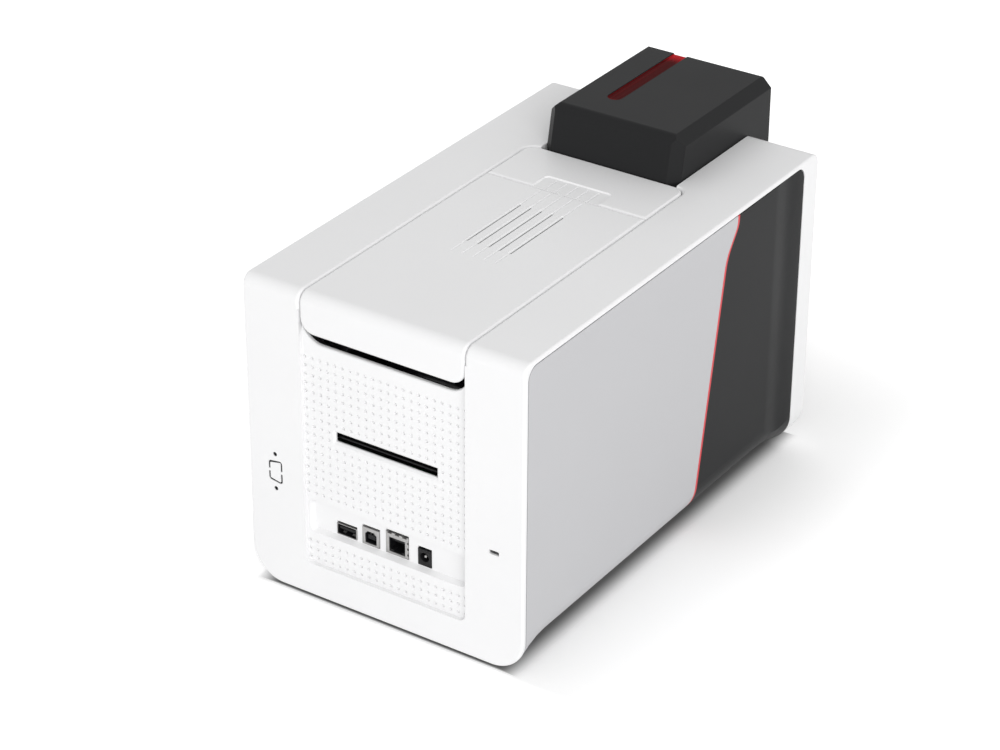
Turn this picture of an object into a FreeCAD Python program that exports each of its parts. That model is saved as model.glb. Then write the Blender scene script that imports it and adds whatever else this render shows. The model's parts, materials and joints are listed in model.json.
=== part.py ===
import FreeCAD, Part
import math
import os

# Desktop card printer. The origin is on the surface it stands on, under the middle of its outline.
# +X is to the right of someone who faces the front, the front faces -Y, +Z is up. All lengths are in mm.

# Overall size. The width and the height follow from the mechanism and the room left around it.
BODY_DEPTH = 348.3
BIN_OVERHANG = 32.7
SIDE_BAY = 46.0
HEADROOM = 44.0
HOOD_RISE = 30.0
FOOT_HEIGHT = 2.3

# Walls, seams and clearances
WALL = 2.7
PANEL_WALL = 2.5
SHEET = 1.5
SEAM = 0.4
RUN = 0.3
FIT = 0.05
OVER = 12.0
EDGE_SOFT = 1.6
SEAM_SOFT = 2.0
SIDE_SEAM = 0.8
NEAR = 0.01
TOUCHING = 1e-6

# Body shell
CORNER_RADIUS = 23.0
SHOULDER_RADIUS = 7.5
PARTING_DROP = 12.0
REAR_BAND = 3.15
FRONT_BAND = 18.75
ARCH_RISE = 7.5
ARCH_REAR_LENGTH = 28.0
ARCH_FRONT_LENGTH = 44.0
ARCH_SHARES = [(0.0, 0.0), (0.3, 0.5), (0.65, 0.88), (1.0, 1.0)]
PANEL_CORNER = 9.0
RIM_REACH = 8.0
RIM_WALL = 2.0
RIM_END_INSET = 28.0

# Stripe between the light and the dark side panels, from its top end down
STRIPE_WIDTH = 2.2
STRIPE_REACH = 85.65
STRIPE_KINK_DROP = 10.5
STRIPE_KINK_RADIUS = 14.0
STRIPE_KNEE_SHIFT = 13.1
STRIPE_KNEE_DROP = 28.7
STRIPE_KNEE_RADIUS = 34.0
STRIPE_FOOT_SHIFT = 46.3
VALLEY_SETBACK = 20.0
VALLEY_HALF_WIDTH = 18.0
VALLEY_DEPTH = 1.2
VALLEY_SHARES = (-1.0, -0.75, -0.5, -0.25, 0.0, 0.25, 0.5, 0.75, 1.0)

# Lid, its rear lip and its hinge
LID_MARGIN = 3.35
LID_SEAM = 0.55
LIP_DROP = 26.8
LIP_CORNER = 10.0
HINGE_SETBACK = 8.0
HINGE_DROP = 8.5
HINGE_ROD_RADIUS = 2.0
HINGE_LUG_RADIUS = 4.4
HINGE_LUG_WIDTH = 4.0
HINGE_LUG_INSET = 6.0
HINGE_BOSS_RADIUS = 5.0
HINGE_BOSS_WIDTH = 6.0
FLANGE_DROP = 18.0

# Release flap at the front of the lid
FEEDER_OVERHANG = 25.0
FLAP_DEPTH = 50.2
FLAP_CORNER = 9.0
FLAP_AXIS_SETBACK = 6.0
FLAP_AXIS_DROP = 7.0
FLAP_PIN_RADIUS = 1.5
FLAP_LUG_X = 36.0
FLAP_LUG_WIDTH = 4.0
FLAP_LUG_RADIUS = 3.5
BRIDGE_DEPTH = 14.0
BRIDGE_THICKNESS = 3.0
HOOK_X = 22.0
HOOK_WIDTH = 6.0
HOOK_REACH = 20.0
HOOK_THICKNESS = 3.0
HOOK_GAP = 0.6
CATCH_WIDTH = 10.0
SPRING_RADIUS = 3.0
SPRING_WIRE = 0.5
SPRING_TURNS = 5
SPRING_SETBACK = 20.0
SPRING_SHELF = 8.0

# Finger pad and vent slots
PAD_HALF = 25.3
PAD_FRONT_REACH = 17.6
PAD_REAR_REACH = 2.7
PAD_DEPTH = 0.8
PAD_CORNER = 3.5
GROOVE_COUNT = 5
GROOVE_PITCH = 8.0
GROOVE_DEPTH = 0.6
GROOVE_FRONT_REACH = 15.0
GROOVE_REAR_REACH = 103.7
SLOT_WIDTH = 2.4
SLOT_CHAMFER = 0.8
SLOT_CORNER = 1.0
SLOT_START = 25.9
SLOT_END = 88.0
SLOT_EDGE = 1.15
SLOT_RELIEF = 0.8

# Rear panel, card slot, connector bay, lock slot and knock-out
PANEL_REVEAL = 0.65
PANEL_BOTTOM = 25.8
PANEL_DROP = 33.9
PANEL_TOP_CORNER = 14.0
PANEL_TAB_GAP = 3.0
PANEL_TOP_BEVEL = 1.3
PANEL_LAP = 5.0
PANEL_BASE_CORNER = 5.0
BAY_INSET = 1.0
BAY_BOTTOM = 47.2
BAY_TOP = 72.2
BAY_CORNER = 5.0
BAY_DEPTH = 4.15
BAY_LIP = 0.8
BAY_DRAFT = 1.4
BAY_WALL = 2.0
BAY_LAP = 3.0
CARD_SLOT_HALF = 37.6
CARD_SLOT_HEIGHT = 6.6
CARD_SLOT_BEVEL = 1.4
LOCK_PLACE_SHARE = 0.498
LOCK_Z = 83.8
LOCK_LENGTH = 7.2
LOCK_HEIGHT = 3.0
LOCK_MARGIN = 5.0
LOCK_POCKET = 1.6
BLANK_PLACE_SHARE = 0.517
BLANK_Z = 84.4
BLANK_WIDTH = 10.6
BLANK_HEIGHT = 16.8
BLANK_GROOVE = 1.3
BLANK_DEPTH = 3.2
BLANK_SLANT = 1.6
BLANK_CORNER = 2.0
BLANK_BREAK = 1.8
BLANK_SCREW_REACH = 12.4
BLANK_SCREW_RADIUS = 1.5

# Card path, rollers and their belt
PATH_Z = 122.2
CARD_THICKNESS = 0.8
GUIDE_THICKNESS = 1.0
ROLLER_RADIUS = 7.0
ROLLER_HALF = 29.0
SHAFT_RADIUS = 3.0
SHAFT_END = 3.0
PULLEY_RADIUS = 8.0
PULLEY_WIDTH = 6.0
PULLEY_FLANGE = 1.0
PULLEY_RIM = 2.5
FEED_SETBACK = 44.35
PLATEN_SHARE = 0.665
EXIT_SHARE = 0.907
WINDOW_MARGIN = 1.5
MOTOR_SHARE = 0.786
MOTOR_LIFT = 8.3
MOTOR_SIZE = 35.0
MOTOR_LENGTH = 22.0
MOTOR_CORNER = 4.0
MOTOR_BORE_DEPTH = 10.0
MOTOR_SHAFT_RADIUS = 2.5
MOTOR_PULLEY_RADIUS = 5.0
BELT_THICKNESS = 1.2
BELT_WIDTH = 5.0

# Chassis
SPOOL_GAP = 13.0
CHASSIS_INSET = 8.0
GUIDE_INSET = 1.5
CHASSIS_MARGIN = 17.0
REAR_STEP_RISE = 8.0
CHASSIS_STEP = 34.0
CHASSIS_CORNER = 4.0
FOOT_FLANGE = 8.0
TIE_RADIUS = 4.0
TIE_PLACE_SHARES = [(0.024, 0.166), (0.175, 0.879), (0.36, 1.489), (0.574, 0.232), (0.544, 0.736),
                    (0.966, 1.212)]
SCREW_SHANK = 1.5
SCREW_HEAD = 3.0
SCREW_HEAD_HEIGHT = 2.0
SCREW_GRIP = 6.5
BASE_SCREW_SHARES = (0.21, 0.63, 0.84)

# Ribbon spools and drive
SUPPLY_SHARE = 0.816
TAKEUP_SHARE = 0.4955
SPOOL_RISE = 29.8
SPOOL_CORE = 8.0
SPOOL_JOURNAL = 4.0
SPOOL_NECK = 10.0
SPOOL_FLANGE = 21.0
SPOOL_FLANGE_WIDTH = 2.0
RIBBON_HALF = 30.0
SUPPLY_ROLL = 19.0
GEAR_MODULE = 1.0
GEAR_TEETH = 40
PINION_TEETH = 16
GEAR_WIDTH = 5.0
GEAR_SLACK = 0.25
GEAR_ADDENDUM_SHARE = 0.9
GEAR_DEDENDUM_SHARE = 1.25
TOOTH_WIDTH_SHARE = 0.46
PRESSURE_ANGLE = 20.0
FLANK_POINTS = 5
RIBBON_MOTOR_RADIUS = 11.0
RIBBON_MOTOR_LENGTH = 20.0
RIBBON_SHAFT = 1.5
RIBBON_BORE_DEPTH = 8.0

# Print head under the lid
HEAD_HALF = 31.0
HEAD_DEPTH = 12.0
HEAD_HEIGHT = 7.0
HEAD_LIFT = 0.7
SINK_HEIGHT = 30.0
SINK_DEPTH = 16.0
SINK_FIN = 1.2
SINK_FINS = 12
SINK_BASE = 4.0
ARM_THICKNESS = 3.0
LINER_INSET = 3.85
LINER_WALL = 2.0
LINER_DEPTH = 7.0
LINER_FRONT_INSET = 4.0
LINER_REAR_INSET = 14.5
LINER_CORNER = 6.0

# Fan beside the print head
FAN_SIZE = 40.0
FAN_DEPTH = 10.0
FAN_RISE = 12.0
FAN_BORE = 18.0
FAN_HUB = 8.0
FAN_PLATE = 2.0
FAN_SPOKE = 3.0
FAN_BLADES = 7
FAN_BLADE = 1.5
FAN_AXLE = 1.5
FAN_CORNER = 4.0

# Card feeder: hood, gauge window, tray and card weight
HOOD_INSET = 8.85
HOOD_WALL = 2.5
HOOD_CHAMFER = 6.8
HOOD_SOFT = 1.2
HOOD_LEAN = 5.3
HOOD_BREAK = 5.4
HOOD_BREAK_DROP = 3.6
HOOD_BREAK_SOFT = 5.0
HOOD_DROP = 10.2
HOOD_SKIRT = 5.0
HOOD_ROUND = 9.0
HOOD_SILL = 3.0
HOOD_GAP = 0.8
HOOD_PIN_RADIUS = 2.0
HOOD_LUG_WIDTH = 4.0
HOOD_LUG_RADIUS = 5.0
HOOD_LUG_WEB = 1.0
GAUGE_X = 18.9
GAUGE_WIDTH = 10.8
GAUGE_RADIUS = 5.2
GAUGE_SINK = 0.8
GAUGE_THICKNESS = 2.0
GAUGE_SETBACK = 33.5
GAUGE_RISE = 12.8
CARD_WIDTH = 54.0
CARD_LENGTH = 85.6
CARD_PLAY = 1.2
TRAY_WALL = 2.5
TRAY_DROP = 13.0
TRAY_SETBACK = 15.0
TRAY_LEAD = 20.35
TRAY_GATE = 2.2
TRAY_NOTCH_HALF = 12.0
TRAY_NOTCH_DEPTH = 44.0
WEIGHT_LIFT = 1.0
WEIGHT_HEIGHT = 10.0
WEIGHT_WALL = 2.0
WEIGHT_GRIP_HEIGHT = 12.0
WEIGHT_GRIP_HALF = 10.0

# Front panel, display, button and output bin
FRONT_WALL = 2.5
FRONT_BORDER = 10.5
FRONT_OPEN_BOTTOM = 15.0
FRONT_OPEN_CORNER = 14.0
FRONT_LAP = 4.0
FRONT_PANEL_CORNER = 18.0
THROAT_HALF = 33.0
THROAT_DROP = 5.7
BIN_HALF = 30.5
BIN_BOTTOM = 30.0
BIN_DROP = 22.2
BIN_WALL = 2.5
BIN_LENGTH = 92.0
BIN_LAP = 6.0
BIN_NOTCH_HALF = 16.0
BIN_NOTCH_DEPTH = 42.0
BIN_REAR_DROP = 40.0
BIN_CORNER = 4.0
RAIL_X = 20.0
RAIL_WIDTH = 3.0
RAIL_INSET = 6.0
DISPLAY_PLACE_SHARE = 0.36
DISPLAY_WIDTH_SHARE = 0.74
DISPLAY_RISE = 22.0
DISPLAY_DROP = 17.0
DISPLAY_THICKNESS = 1.5
DISPLAY_CORNER = 4.0
BUTTON_SOFT = 0.6
BUTTON_DROP = 16.2
BUTTON_RADIUS = 7.5
BUTTON_LENGTH = 7.0
BUTTON_COLLAR = 1.5
BUTTON_COLLAR_RADIUS = 9.0
BUTTON_PROUD = 1.6
BUTTON_TRAVEL = 1.5
SWITCH_HALF = 3.0
SWITCH_HEIGHT = 2.5
BOARD = 1.6
BOARD_WIDTH_SHARE = 0.65
BOARD_MARGIN = 12.0
POST_RADIUS = 2.5
POST_INSET = 4.0

# Main board and the sockets on it
MAIN_BOARD_TOP = 50.2
MAIN_BOARD_GAP = 5.0
MAIN_BOARD_DEPTH = 90.0
MAIN_POST_RADIUS = 4.0
MAIN_POST_INSET = 8.0
USB_HOST_X = 33.0
USB_HOST_WIDTH = 15.0
USB_HOST_HEIGHT = 8.0
USB_DEVICE_X = 14.6
USB_DEVICE_WIDTH = 13.0
USB_DEVICE_HEIGHT = 12.4
USB_DEVICE_HOLE = 8.6
USB_DEVICE_HOLE_RISE = 1.4
USB_DEVICE_CUT = 2.0
NETWORK_X = -5.3
NETWORK_WIDTH = 16.8
NETWORK_HEIGHT = 15.4
NETWORK_HOLE_WIDTH = 12.0
NETWORK_HOLE_HEIGHT = 10.4
NETWORK_HOLE_RISE = 1.6
POWER_X = -25.9
POWER_WIDTH = 9.9
POWER_HEIGHT = 11.8
POWER_AXIS_RISE = 6.4
POWER_BORE = 3.2
POWER_BORE_DEPTH = 9.0
POWER_PIN = 1.0
SOCKET_DEPTH = 14.0
SOCKET_PROUD = 0.6
SOCKET_RELIEF = 0.2
SOCKET_HEADROOM = 1.3
SHELL = 0.7
TONGUE = 2.0
TONGUE_INSET = 1.5
CORE_DEPTH = 4.0

# Feet
FOOT_RADIUS = 8.0
FOOT_PAD_RADIUS = 10.0
FOOT_INSET = 13.5
FOOT_REAR_SETBACK = 18.0
FOOT_FRONT_SETBACK = 35.0

# Places across the printer, worked out from the sizes above
SIDES = (-1, 1)
SPOOL_HALF = RIBBON_HALF + SPOOL_FLANGE_WIDTH + SPOOL_NECK
CHASSIS_HALF = SPOOL_HALF + SPOOL_GAP
PLATE_OUT = CHASSIS_HALF + SHEET
HALF = PLATE_OUT + SIDE_BAY
WIDTH = 2 * HALF
BASE_HALF = HALF - CORNER_RADIUS
LID_HALF = PLATE_OUT + LID_MARGIN
OPENING_HALF = LID_HALF + LID_SEAM
LINER_HALF = LID_HALF - LINER_INSET
HINGE_LUG_X = LINER_HALF - HINGE_LUG_INSET
PANEL_HALF = LID_HALF + PANEL_REVEAL
BAY_HALF = PANEL_HALF - BAY_INSET
LOCK_X = -PANEL_HALF - LOCK_PLACE_SHARE * (HALF - PANEL_HALF)
BLANK_X = PANEL_HALF + BLANK_PLACE_SHARE * (HALF - PANEL_HALF)
HOOD_HALF = LID_HALF - HOOD_INSET
CUTOUT_HALF = HOOD_HALF + HOOD_GAP
TRAY_HALF = (CARD_WIDTH + CARD_PLAY) / 2
FRONT_OPEN_HALF = HALF - FRONT_BORDER
DISPLAY_X = PLATE_OUT + DISPLAY_PLACE_SHARE * SIDE_BAY
DISPLAY_WIDTH = DISPLAY_WIDTH_SHARE * SIDE_BAY
BOARD_HALF = BOARD_WIDTH_SHARE * SIDE_BAY / 2
BASE_SCREW_X = CHASSIS_HALF - FOOT_FLANGE / 2
MAIN_BOARD_HALF = CHASSIS_HALF - MAIN_BOARD_GAP
PULLEY_X = PLATE_OUT + RUN + PULLEY_FLANGE
GEAR_X = PLATE_OUT + RUN

# Heights worked out from the sizes above
ROLLER_Z = PATH_Z - CARD_THICKNESS / 2 - ROLLER_RADIUS
GUIDE_TOP = PATH_Z - CARD_THICKNESS
SPOOL_Z = PATH_Z + SPOOL_RISE
BODY_TOP = SPOOL_Z + SPOOL_FLANGE + HEADROOM
TOTAL_HEIGHT = BODY_TOP + HOOD_RISE
SKIN_TOP = BODY_TOP - WALL
BASE_TOP = FOOT_HEIGHT + ARCH_RISE + PANEL_WALL
PARTING_Z = BODY_TOP - PARTING_DROP
HINGE_Z = BODY_TOP - HINGE_DROP
LIP_Z = BODY_TOP - LIP_DROP
FLAP_AXIS_Z = BODY_TOP - FLAP_AXIS_DROP
FLANGE_BOTTOM = BODY_TOP - FLANGE_DROP
BRIDGE_TOP = FLANGE_BOTTOM + BRIDGE_THICKNESS
LINER_BOTTOM = SKIN_TOP - LINER_DEPTH
PANEL_TOP = BODY_TOP - PANEL_DROP
CHASSIS_TOP = SPOOL_Z + SPOOL_FLANGE + CHASSIS_MARGIN
CHASSIS_REAR_TOP = SPOOL_Z + REAR_STEP_RISE
MOTOR_Z = MAIN_BOARD_TOP + MOTOR_LIFT + MOTOR_SIZE / 2
PINION_Z = SPOOL_Z - GEAR_MODULE * (GEAR_TEETH + PINION_TEETH) / 2 - GEAR_SLACK
HEAD_Z = PATH_Z + HEAD_LIFT
SINK_Z = HEAD_Z + HEAD_HEIGHT
FAN_Z = SPOOL_Z + FAN_RISE
HOOD_BOTTOM = PATH_Z - HOOD_DROP
HOOD_AXIS_Z = HOOD_BOTTOM + HOOD_ROUND
GAUGE_BOTTOM = PATH_Z + GAUGE_RISE
TRAY_TOP = BODY_TOP - TRAY_DROP
TRAY_NOTCH_BOTTOM = TRAY_TOP - TRAY_NOTCH_DEPTH
WEIGHT_Z = GUIDE_TOP + WEIGHT_LIFT
THROAT_BOTTOM = PATH_Z - THROAT_DROP
BIN_TOP = PATH_Z - BIN_DROP
BIN_NOTCH_BOTTOM = BIN_TOP - BIN_NOTCH_DEPTH
BIN_REAR_TOP = BIN_TOP - BIN_REAR_DROP
BUTTON_Z = PATH_Z - BUTTON_DROP
DISPLAY_LOW = BUTTON_Z + DISPLAY_RISE
DISPLAY_TOP = PARTING_Z - DISPLAY_DROP
DISPLAY_Z = (DISPLAY_LOW + DISPLAY_TOP) / 2

# Places from front to rear, worked out from the sizes above
TOTAL_DEPTH = BODY_DEPTH + BIN_OVERHANG
REAR_Y = TOTAL_DEPTH / 2
FRONT_Y = REAR_Y - BODY_DEPTH
BIN_FRONT = FRONT_Y - BIN_OVERHANG
BIN_REAR = BIN_FRONT + BIN_LENGTH
SKIN_REAR = REAR_Y - REAR_BAND
SKIN_FRONT = FRONT_Y + FRONT_BAND
HINGE_Y = REAR_Y - HINGE_SETBACK
FEEDER_DEPTH = TRAY_LEAD + CARD_LENGTH + CARD_PLAY + TRAY_SETBACK
FEEDER_FRONT = FRONT_Y - FEEDER_OVERHANG
FEEDER_REAR = FEEDER_FRONT + FEEDER_DEPTH
FLAP_FRONT = FEEDER_REAR + SEAM
FLAP_REAR = FLAP_FRONT + FLAP_DEPTH
LID_FRONT = FLAP_REAR + LID_SEAM
FLAP_AXIS_Y = FLAP_FRONT + FLAP_AXIS_SETBACK
LINER_FRONT = LID_FRONT + LINER_FRONT_INSET
LINER_REAR = HINGE_Y - LINER_REAR_INSET
PANEL_BACK = SKIN_REAR - PANEL_WALL
BAY_FLOOR = SKIN_REAR - BAY_DEPTH
CHASSIS_FRONT = FRONT_Y + CHASSIS_INSET
CHASSIS_REAR = BAY_FLOOR - BAY_WALL - SEAM
CHASSIS_LENGTH = CHASSIS_REAR - CHASSIS_FRONT
HOOD_FACE = FRONT_Y - SEAM
HOOD_AXIS_Y = HOOD_FACE - HOOD_ROUND
TRAY_REAR = FEEDER_REAR - TRAY_SETBACK
TRAY_FRONT = TRAY_REAR - CARD_LENGTH - CARD_PLAY
FEED_Y = TRAY_REAR - FEED_SETBACK
PLATEN_Y = CHASSIS_FRONT + PLATEN_SHARE * CHASSIS_LENGTH
EXIT_Y = CHASSIS_FRONT + EXIT_SHARE * CHASSIS_LENGTH
MOTOR_Y = CHASSIS_FRONT + MOTOR_SHARE * CHASSIS_LENGTH
SUPPLY_Y = CHASSIS_FRONT + SUPPLY_SHARE * CHASSIS_LENGTH
TAKEUP_Y = CHASSIS_FRONT + TAKEUP_SHARE * CHASSIS_LENGTH
FRONT_PANEL = FRONT_Y + FRONT_WALL
FRONT_PANEL_BACK = FRONT_PANEL + FRONT_WALL
BUTTON_FRONT = FRONT_PANEL - BUTTON_PROUD
SWITCH_FRONT = BUTTON_FRONT + BUTTON_LENGTH + BUTTON_TRAVEL + RUN
FRONT_BOARD = SWITCH_FRONT + SWITCH_HEIGHT
SOCKET_FACE = BAY_FLOOR + SOCKET_PROUD
SOCKET_BACK = SOCKET_FACE - SOCKET_DEPTH
MAIN_BOARD_REAR = CHASSIS_REAR
MAIN_BOARD_FRONT = MAIN_BOARD_REAR - MAIN_BOARD_DEPTH
TIE_PLACES = [(CHASSIS_FRONT + along * CHASSIS_LENGTH, up * PATH_Z) for along, up in TIE_PLACE_SHARES]
BASE_SCREW_YS = [CHASSIS_FRONT + along * CHASSIS_LENGTH for along in BASE_SCREW_SHARES]
FOOT_X = BASE_HALF - FOOT_INSET
FOOT_PLACES = [(side * FOOT_X, y) for side in SIDES
               for y in (SKIN_REAR - FOOT_REAR_SETBACK, SKIN_FRONT + FOOT_FRONT_SETBACK)]
ROLLER_YS = (FEED_Y, PLATEN_Y, EXIT_Y)


def vec(x, y, z):
    return FreeCAD.Vector(x, y, z)


def box(x0, x1, y0, y1, z0, z1):
    return Part.makeBox(x1 - x0, y1 - y0, z1 - z0, vec(x0, y0, z0))


def rod_x(radius, x0, x1, y, z):
    return Part.makeCylinder(radius, x1 - x0, vec(x0, y, z), vec(1, 0, 0))


def rod_y(radius, y0, y1, x, z):
    return Part.makeCylinder(radius, y1 - y0, vec(x, y0, z), vec(0, 1, 0))


def rod_z(radius, z0, z1, x, y):
    return Part.makeCylinder(radius, z1 - z0, vec(x, y, z0), vec(0, 0, 1))


def place(plane, u, v, level):
    """A point given on the XY, XZ or YZ plane, at a level on the third axis."""
    return {"xy": vec(u, v, level), "xz": vec(u, level, v), "yz": vec(level, u, v)}[plane]


def outline(corners, plane, level):
    """A flat face from (u, v, radius) corners, each corner rounded by its radius."""
    flat = [vec(u, v, 0) for u, v, _ in corners]
    stretches = []
    for index, (_, _, radius) in enumerate(corners):
        corner = flat[index]
        back = (flat[index - 1] - corner).normalize()
        ahead = (flat[(index + 1) % len(flat)] - corner).normalize()
        if radius == 0:
            stretches.append([corner])
            continue
        half_angle = back.getAngle(ahead) / 2
        reach = radius / math.tan(half_angle)
        bisector = (back + ahead).normalize()
        middle = corner + bisector * (radius / math.sin(half_angle) - radius)
        stretches.append([corner + back * reach, middle, corner + ahead * reach])
    edges = []
    for index, stretch in enumerate(stretches):
        points = [place(plane, point.x, point.y, level) for point in stretch]
        if len(points) > 1:
            edges.append(Part.Arc(*points).toShape())
        following = stretches[(index + 1) % len(stretches)][0]
        target = place(plane, following.x, following.y, level)
        if not points[-1].isEqual(target, TOUCHING):
            edges.append(Part.makeLine(points[-1], target))
    return Part.Face(Part.Wire(edges))


def slab(corners, plane, low, high):
    """An outline given thickness along the third axis, from low to high."""
    return outline(corners, plane, low).extrude(place(plane, 0, 0, high - low))


def rectangle(u0, u1, v0, v1, low_radius=0, high_radius=None):
    """Corners of a rectangle, rounded at its low v end and at its high v end."""
    top = low_radius if high_radius is None else high_radius
    return [(u0, v0, low_radius), (u1, v0, low_radius), (u1, v1, top), (u0, v1, top)]


def inset_corners(corners, inset):
    """The corners of an outline that only bulges outwards, moved in from its edges by inset."""
    flat = [vec(u, v, 0) for u, v, _ in corners]
    moved = []
    for index, (_, _, radius) in enumerate(corners):
        corner = flat[index]
        back = (flat[index - 1] - corner).normalize()
        ahead = (flat[(index + 1) % len(flat)] - corner).normalize()
        inner = corner + (back + ahead).normalize() * (inset / math.sin(back.getAngle(ahead) / 2))
        moved.append((inner.x, inner.y, max(radius - inset, 0)))
    return moved


def both_sides(shape):
    """A piece on the +X side and its mirror image on the -X side."""
    return [shape, shape.mirror(vec(0, 0, 0), vec(1, 0, 0))]


def fused(shapes):
    return shapes[0].multiFuse(shapes[1:]).removeSplitter()


def cut(shape, tools):
    return shape.cut(Part.makeCompound(tools))


def softened(shape, radius, chosen):
    """Rounds the edges that the test picks."""
    return shape.makeFillet(radius, [edge for edge in shape.Edges if chosen(edge)])


def lies_at(edge, axis, value):
    """True for an edge that keeps one value along an axis: 0 for X, 1 for Y, 2 for Z."""
    bounds = edge.BoundBox
    low = (bounds.XMin, bounds.YMin, bounds.ZMin)[axis]
    high = (bounds.XMax, bounds.YMax, bounds.ZMax)[axis]
    return abs(low - value) < NEAR and abs(high - value) < NEAR


def lies_beside(edge):
    return lies_at(edge, 0, edge.BoundBox.XMin) and abs(abs(edge.BoundBox.XMin) - HALF) < NEAR


# Body shell

def arch_stations(reach):
    """Places along Y with the rise of the underside there: low at both ends, arched between."""
    stations = [(SKIN_FRONT - reach, 0.0)]
    stations += [(SKIN_FRONT + ARCH_FRONT_LENGTH * along, ARCH_RISE * up) for along, up in ARCH_SHARES]
    stations += [(SKIN_REAR - ARCH_REAR_LENGTH * along, ARCH_RISE * up) for along, up in ARCH_SHARES[::-1]]
    stations += [(SKIN_REAR + reach, 0.0)]
    return stations


def body_section(inset, rise, y):
    """Cross-section of the body, with its two round lower corners."""
    side = HALF - inset
    low = FOOT_HEIGHT + rise + inset
    return outline(rectangle(-side, side, low, BODY_TOP + OVER, CORNER_RADIUS - inset, 0), "xz", y)


def body_blank(inset, reach):
    """The body as one solid, inset from its outer faces, with the arch under it."""
    stations = arch_stations(reach)
    runs = []
    for (y0, rise0), (y1, rise1) in zip(stations, stations[1:]):
        if y1 - y0 > NEAR:
            runs.append(body_section(inset, rise0, y0).extrude(vec(0, y1 - y0, rise1 - rise0)))
    return fused(runs)


def skin():
    """The outer skin of the body between the front and the rear bezel."""
    return body_blank(0, 0).cut(body_blank(PANEL_WALL, OVER))


def stripe_line(shift, top):
    """The line between the side panels from top to bottom, moved along Y by shift."""
    y = SKIN_FRONT + STRIPE_REACH + shift
    return [(y, top, 0), (y, BODY_TOP - STRIPE_KINK_DROP, STRIPE_KINK_RADIUS),
            (y + STRIPE_KNEE_SHIFT, BODY_TOP - STRIPE_KNEE_DROP, STRIPE_KNEE_RADIUS),
            (y + STRIPE_FOOT_SHIFT, 0, 0)]


def valley():
    """The shallow upright valley in the dark panel, which fades out smoothly at both sides."""
    middle = SKIN_FRONT + VALLEY_SETBACK
    points = [vec(HALF - VALLEY_DEPTH * (1 + math.cos(math.pi * share)) / 2,
                  middle + share * VALLEY_HALF_WIDTH, 0) for share in VALLEY_SHARES]
    curve = Part.BSplineCurve()
    curve.interpolate(Points=points, InitialTangent=vec(0, 1, 0), FinalTangent=vec(0, 1, 0))
    far = [points[-1], vec(HALF + OVER, points[-1].y, 0), vec(HALF + OVER, points[0].y, 0), points[0]]
    edges = [curve.toShape()] + [Part.makeLine(start, end) for start, end in zip(far, far[1:])]
    return Part.Face(Part.Wire(edges)).extrude(vec(0, 0, BODY_TOP))


def side_pieces():
    """The light panel, the dark panel and the stripe of the +X side."""
    whole = skin()
    top = SKIN_TOP - SIDE_SEAM
    corner = PANEL_CORNER - SIDE_SEAM
    rear = SKIN_REAR - SIDE_SEAM
    front = SKIN_FRONT + SIDE_SEAM
    edge = STRIPE_WIDTH / 2
    light = stripe_line(edge, top) + [(rear, 0, 0), (rear, top, corner)]
    dark = stripe_line(-edge, top) + [(front, 0, 0), (front, top, corner)]
    stripe = stripe_line(edge, top) + stripe_line(-edge, top)[::-1]
    light, dark, stripe = [whole.common(slab(region, "yz", BASE_HALF, HALF + OVER))
                           for region in (light, dark, stripe)]
    return light, dark.cut(valley()), stripe


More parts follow.
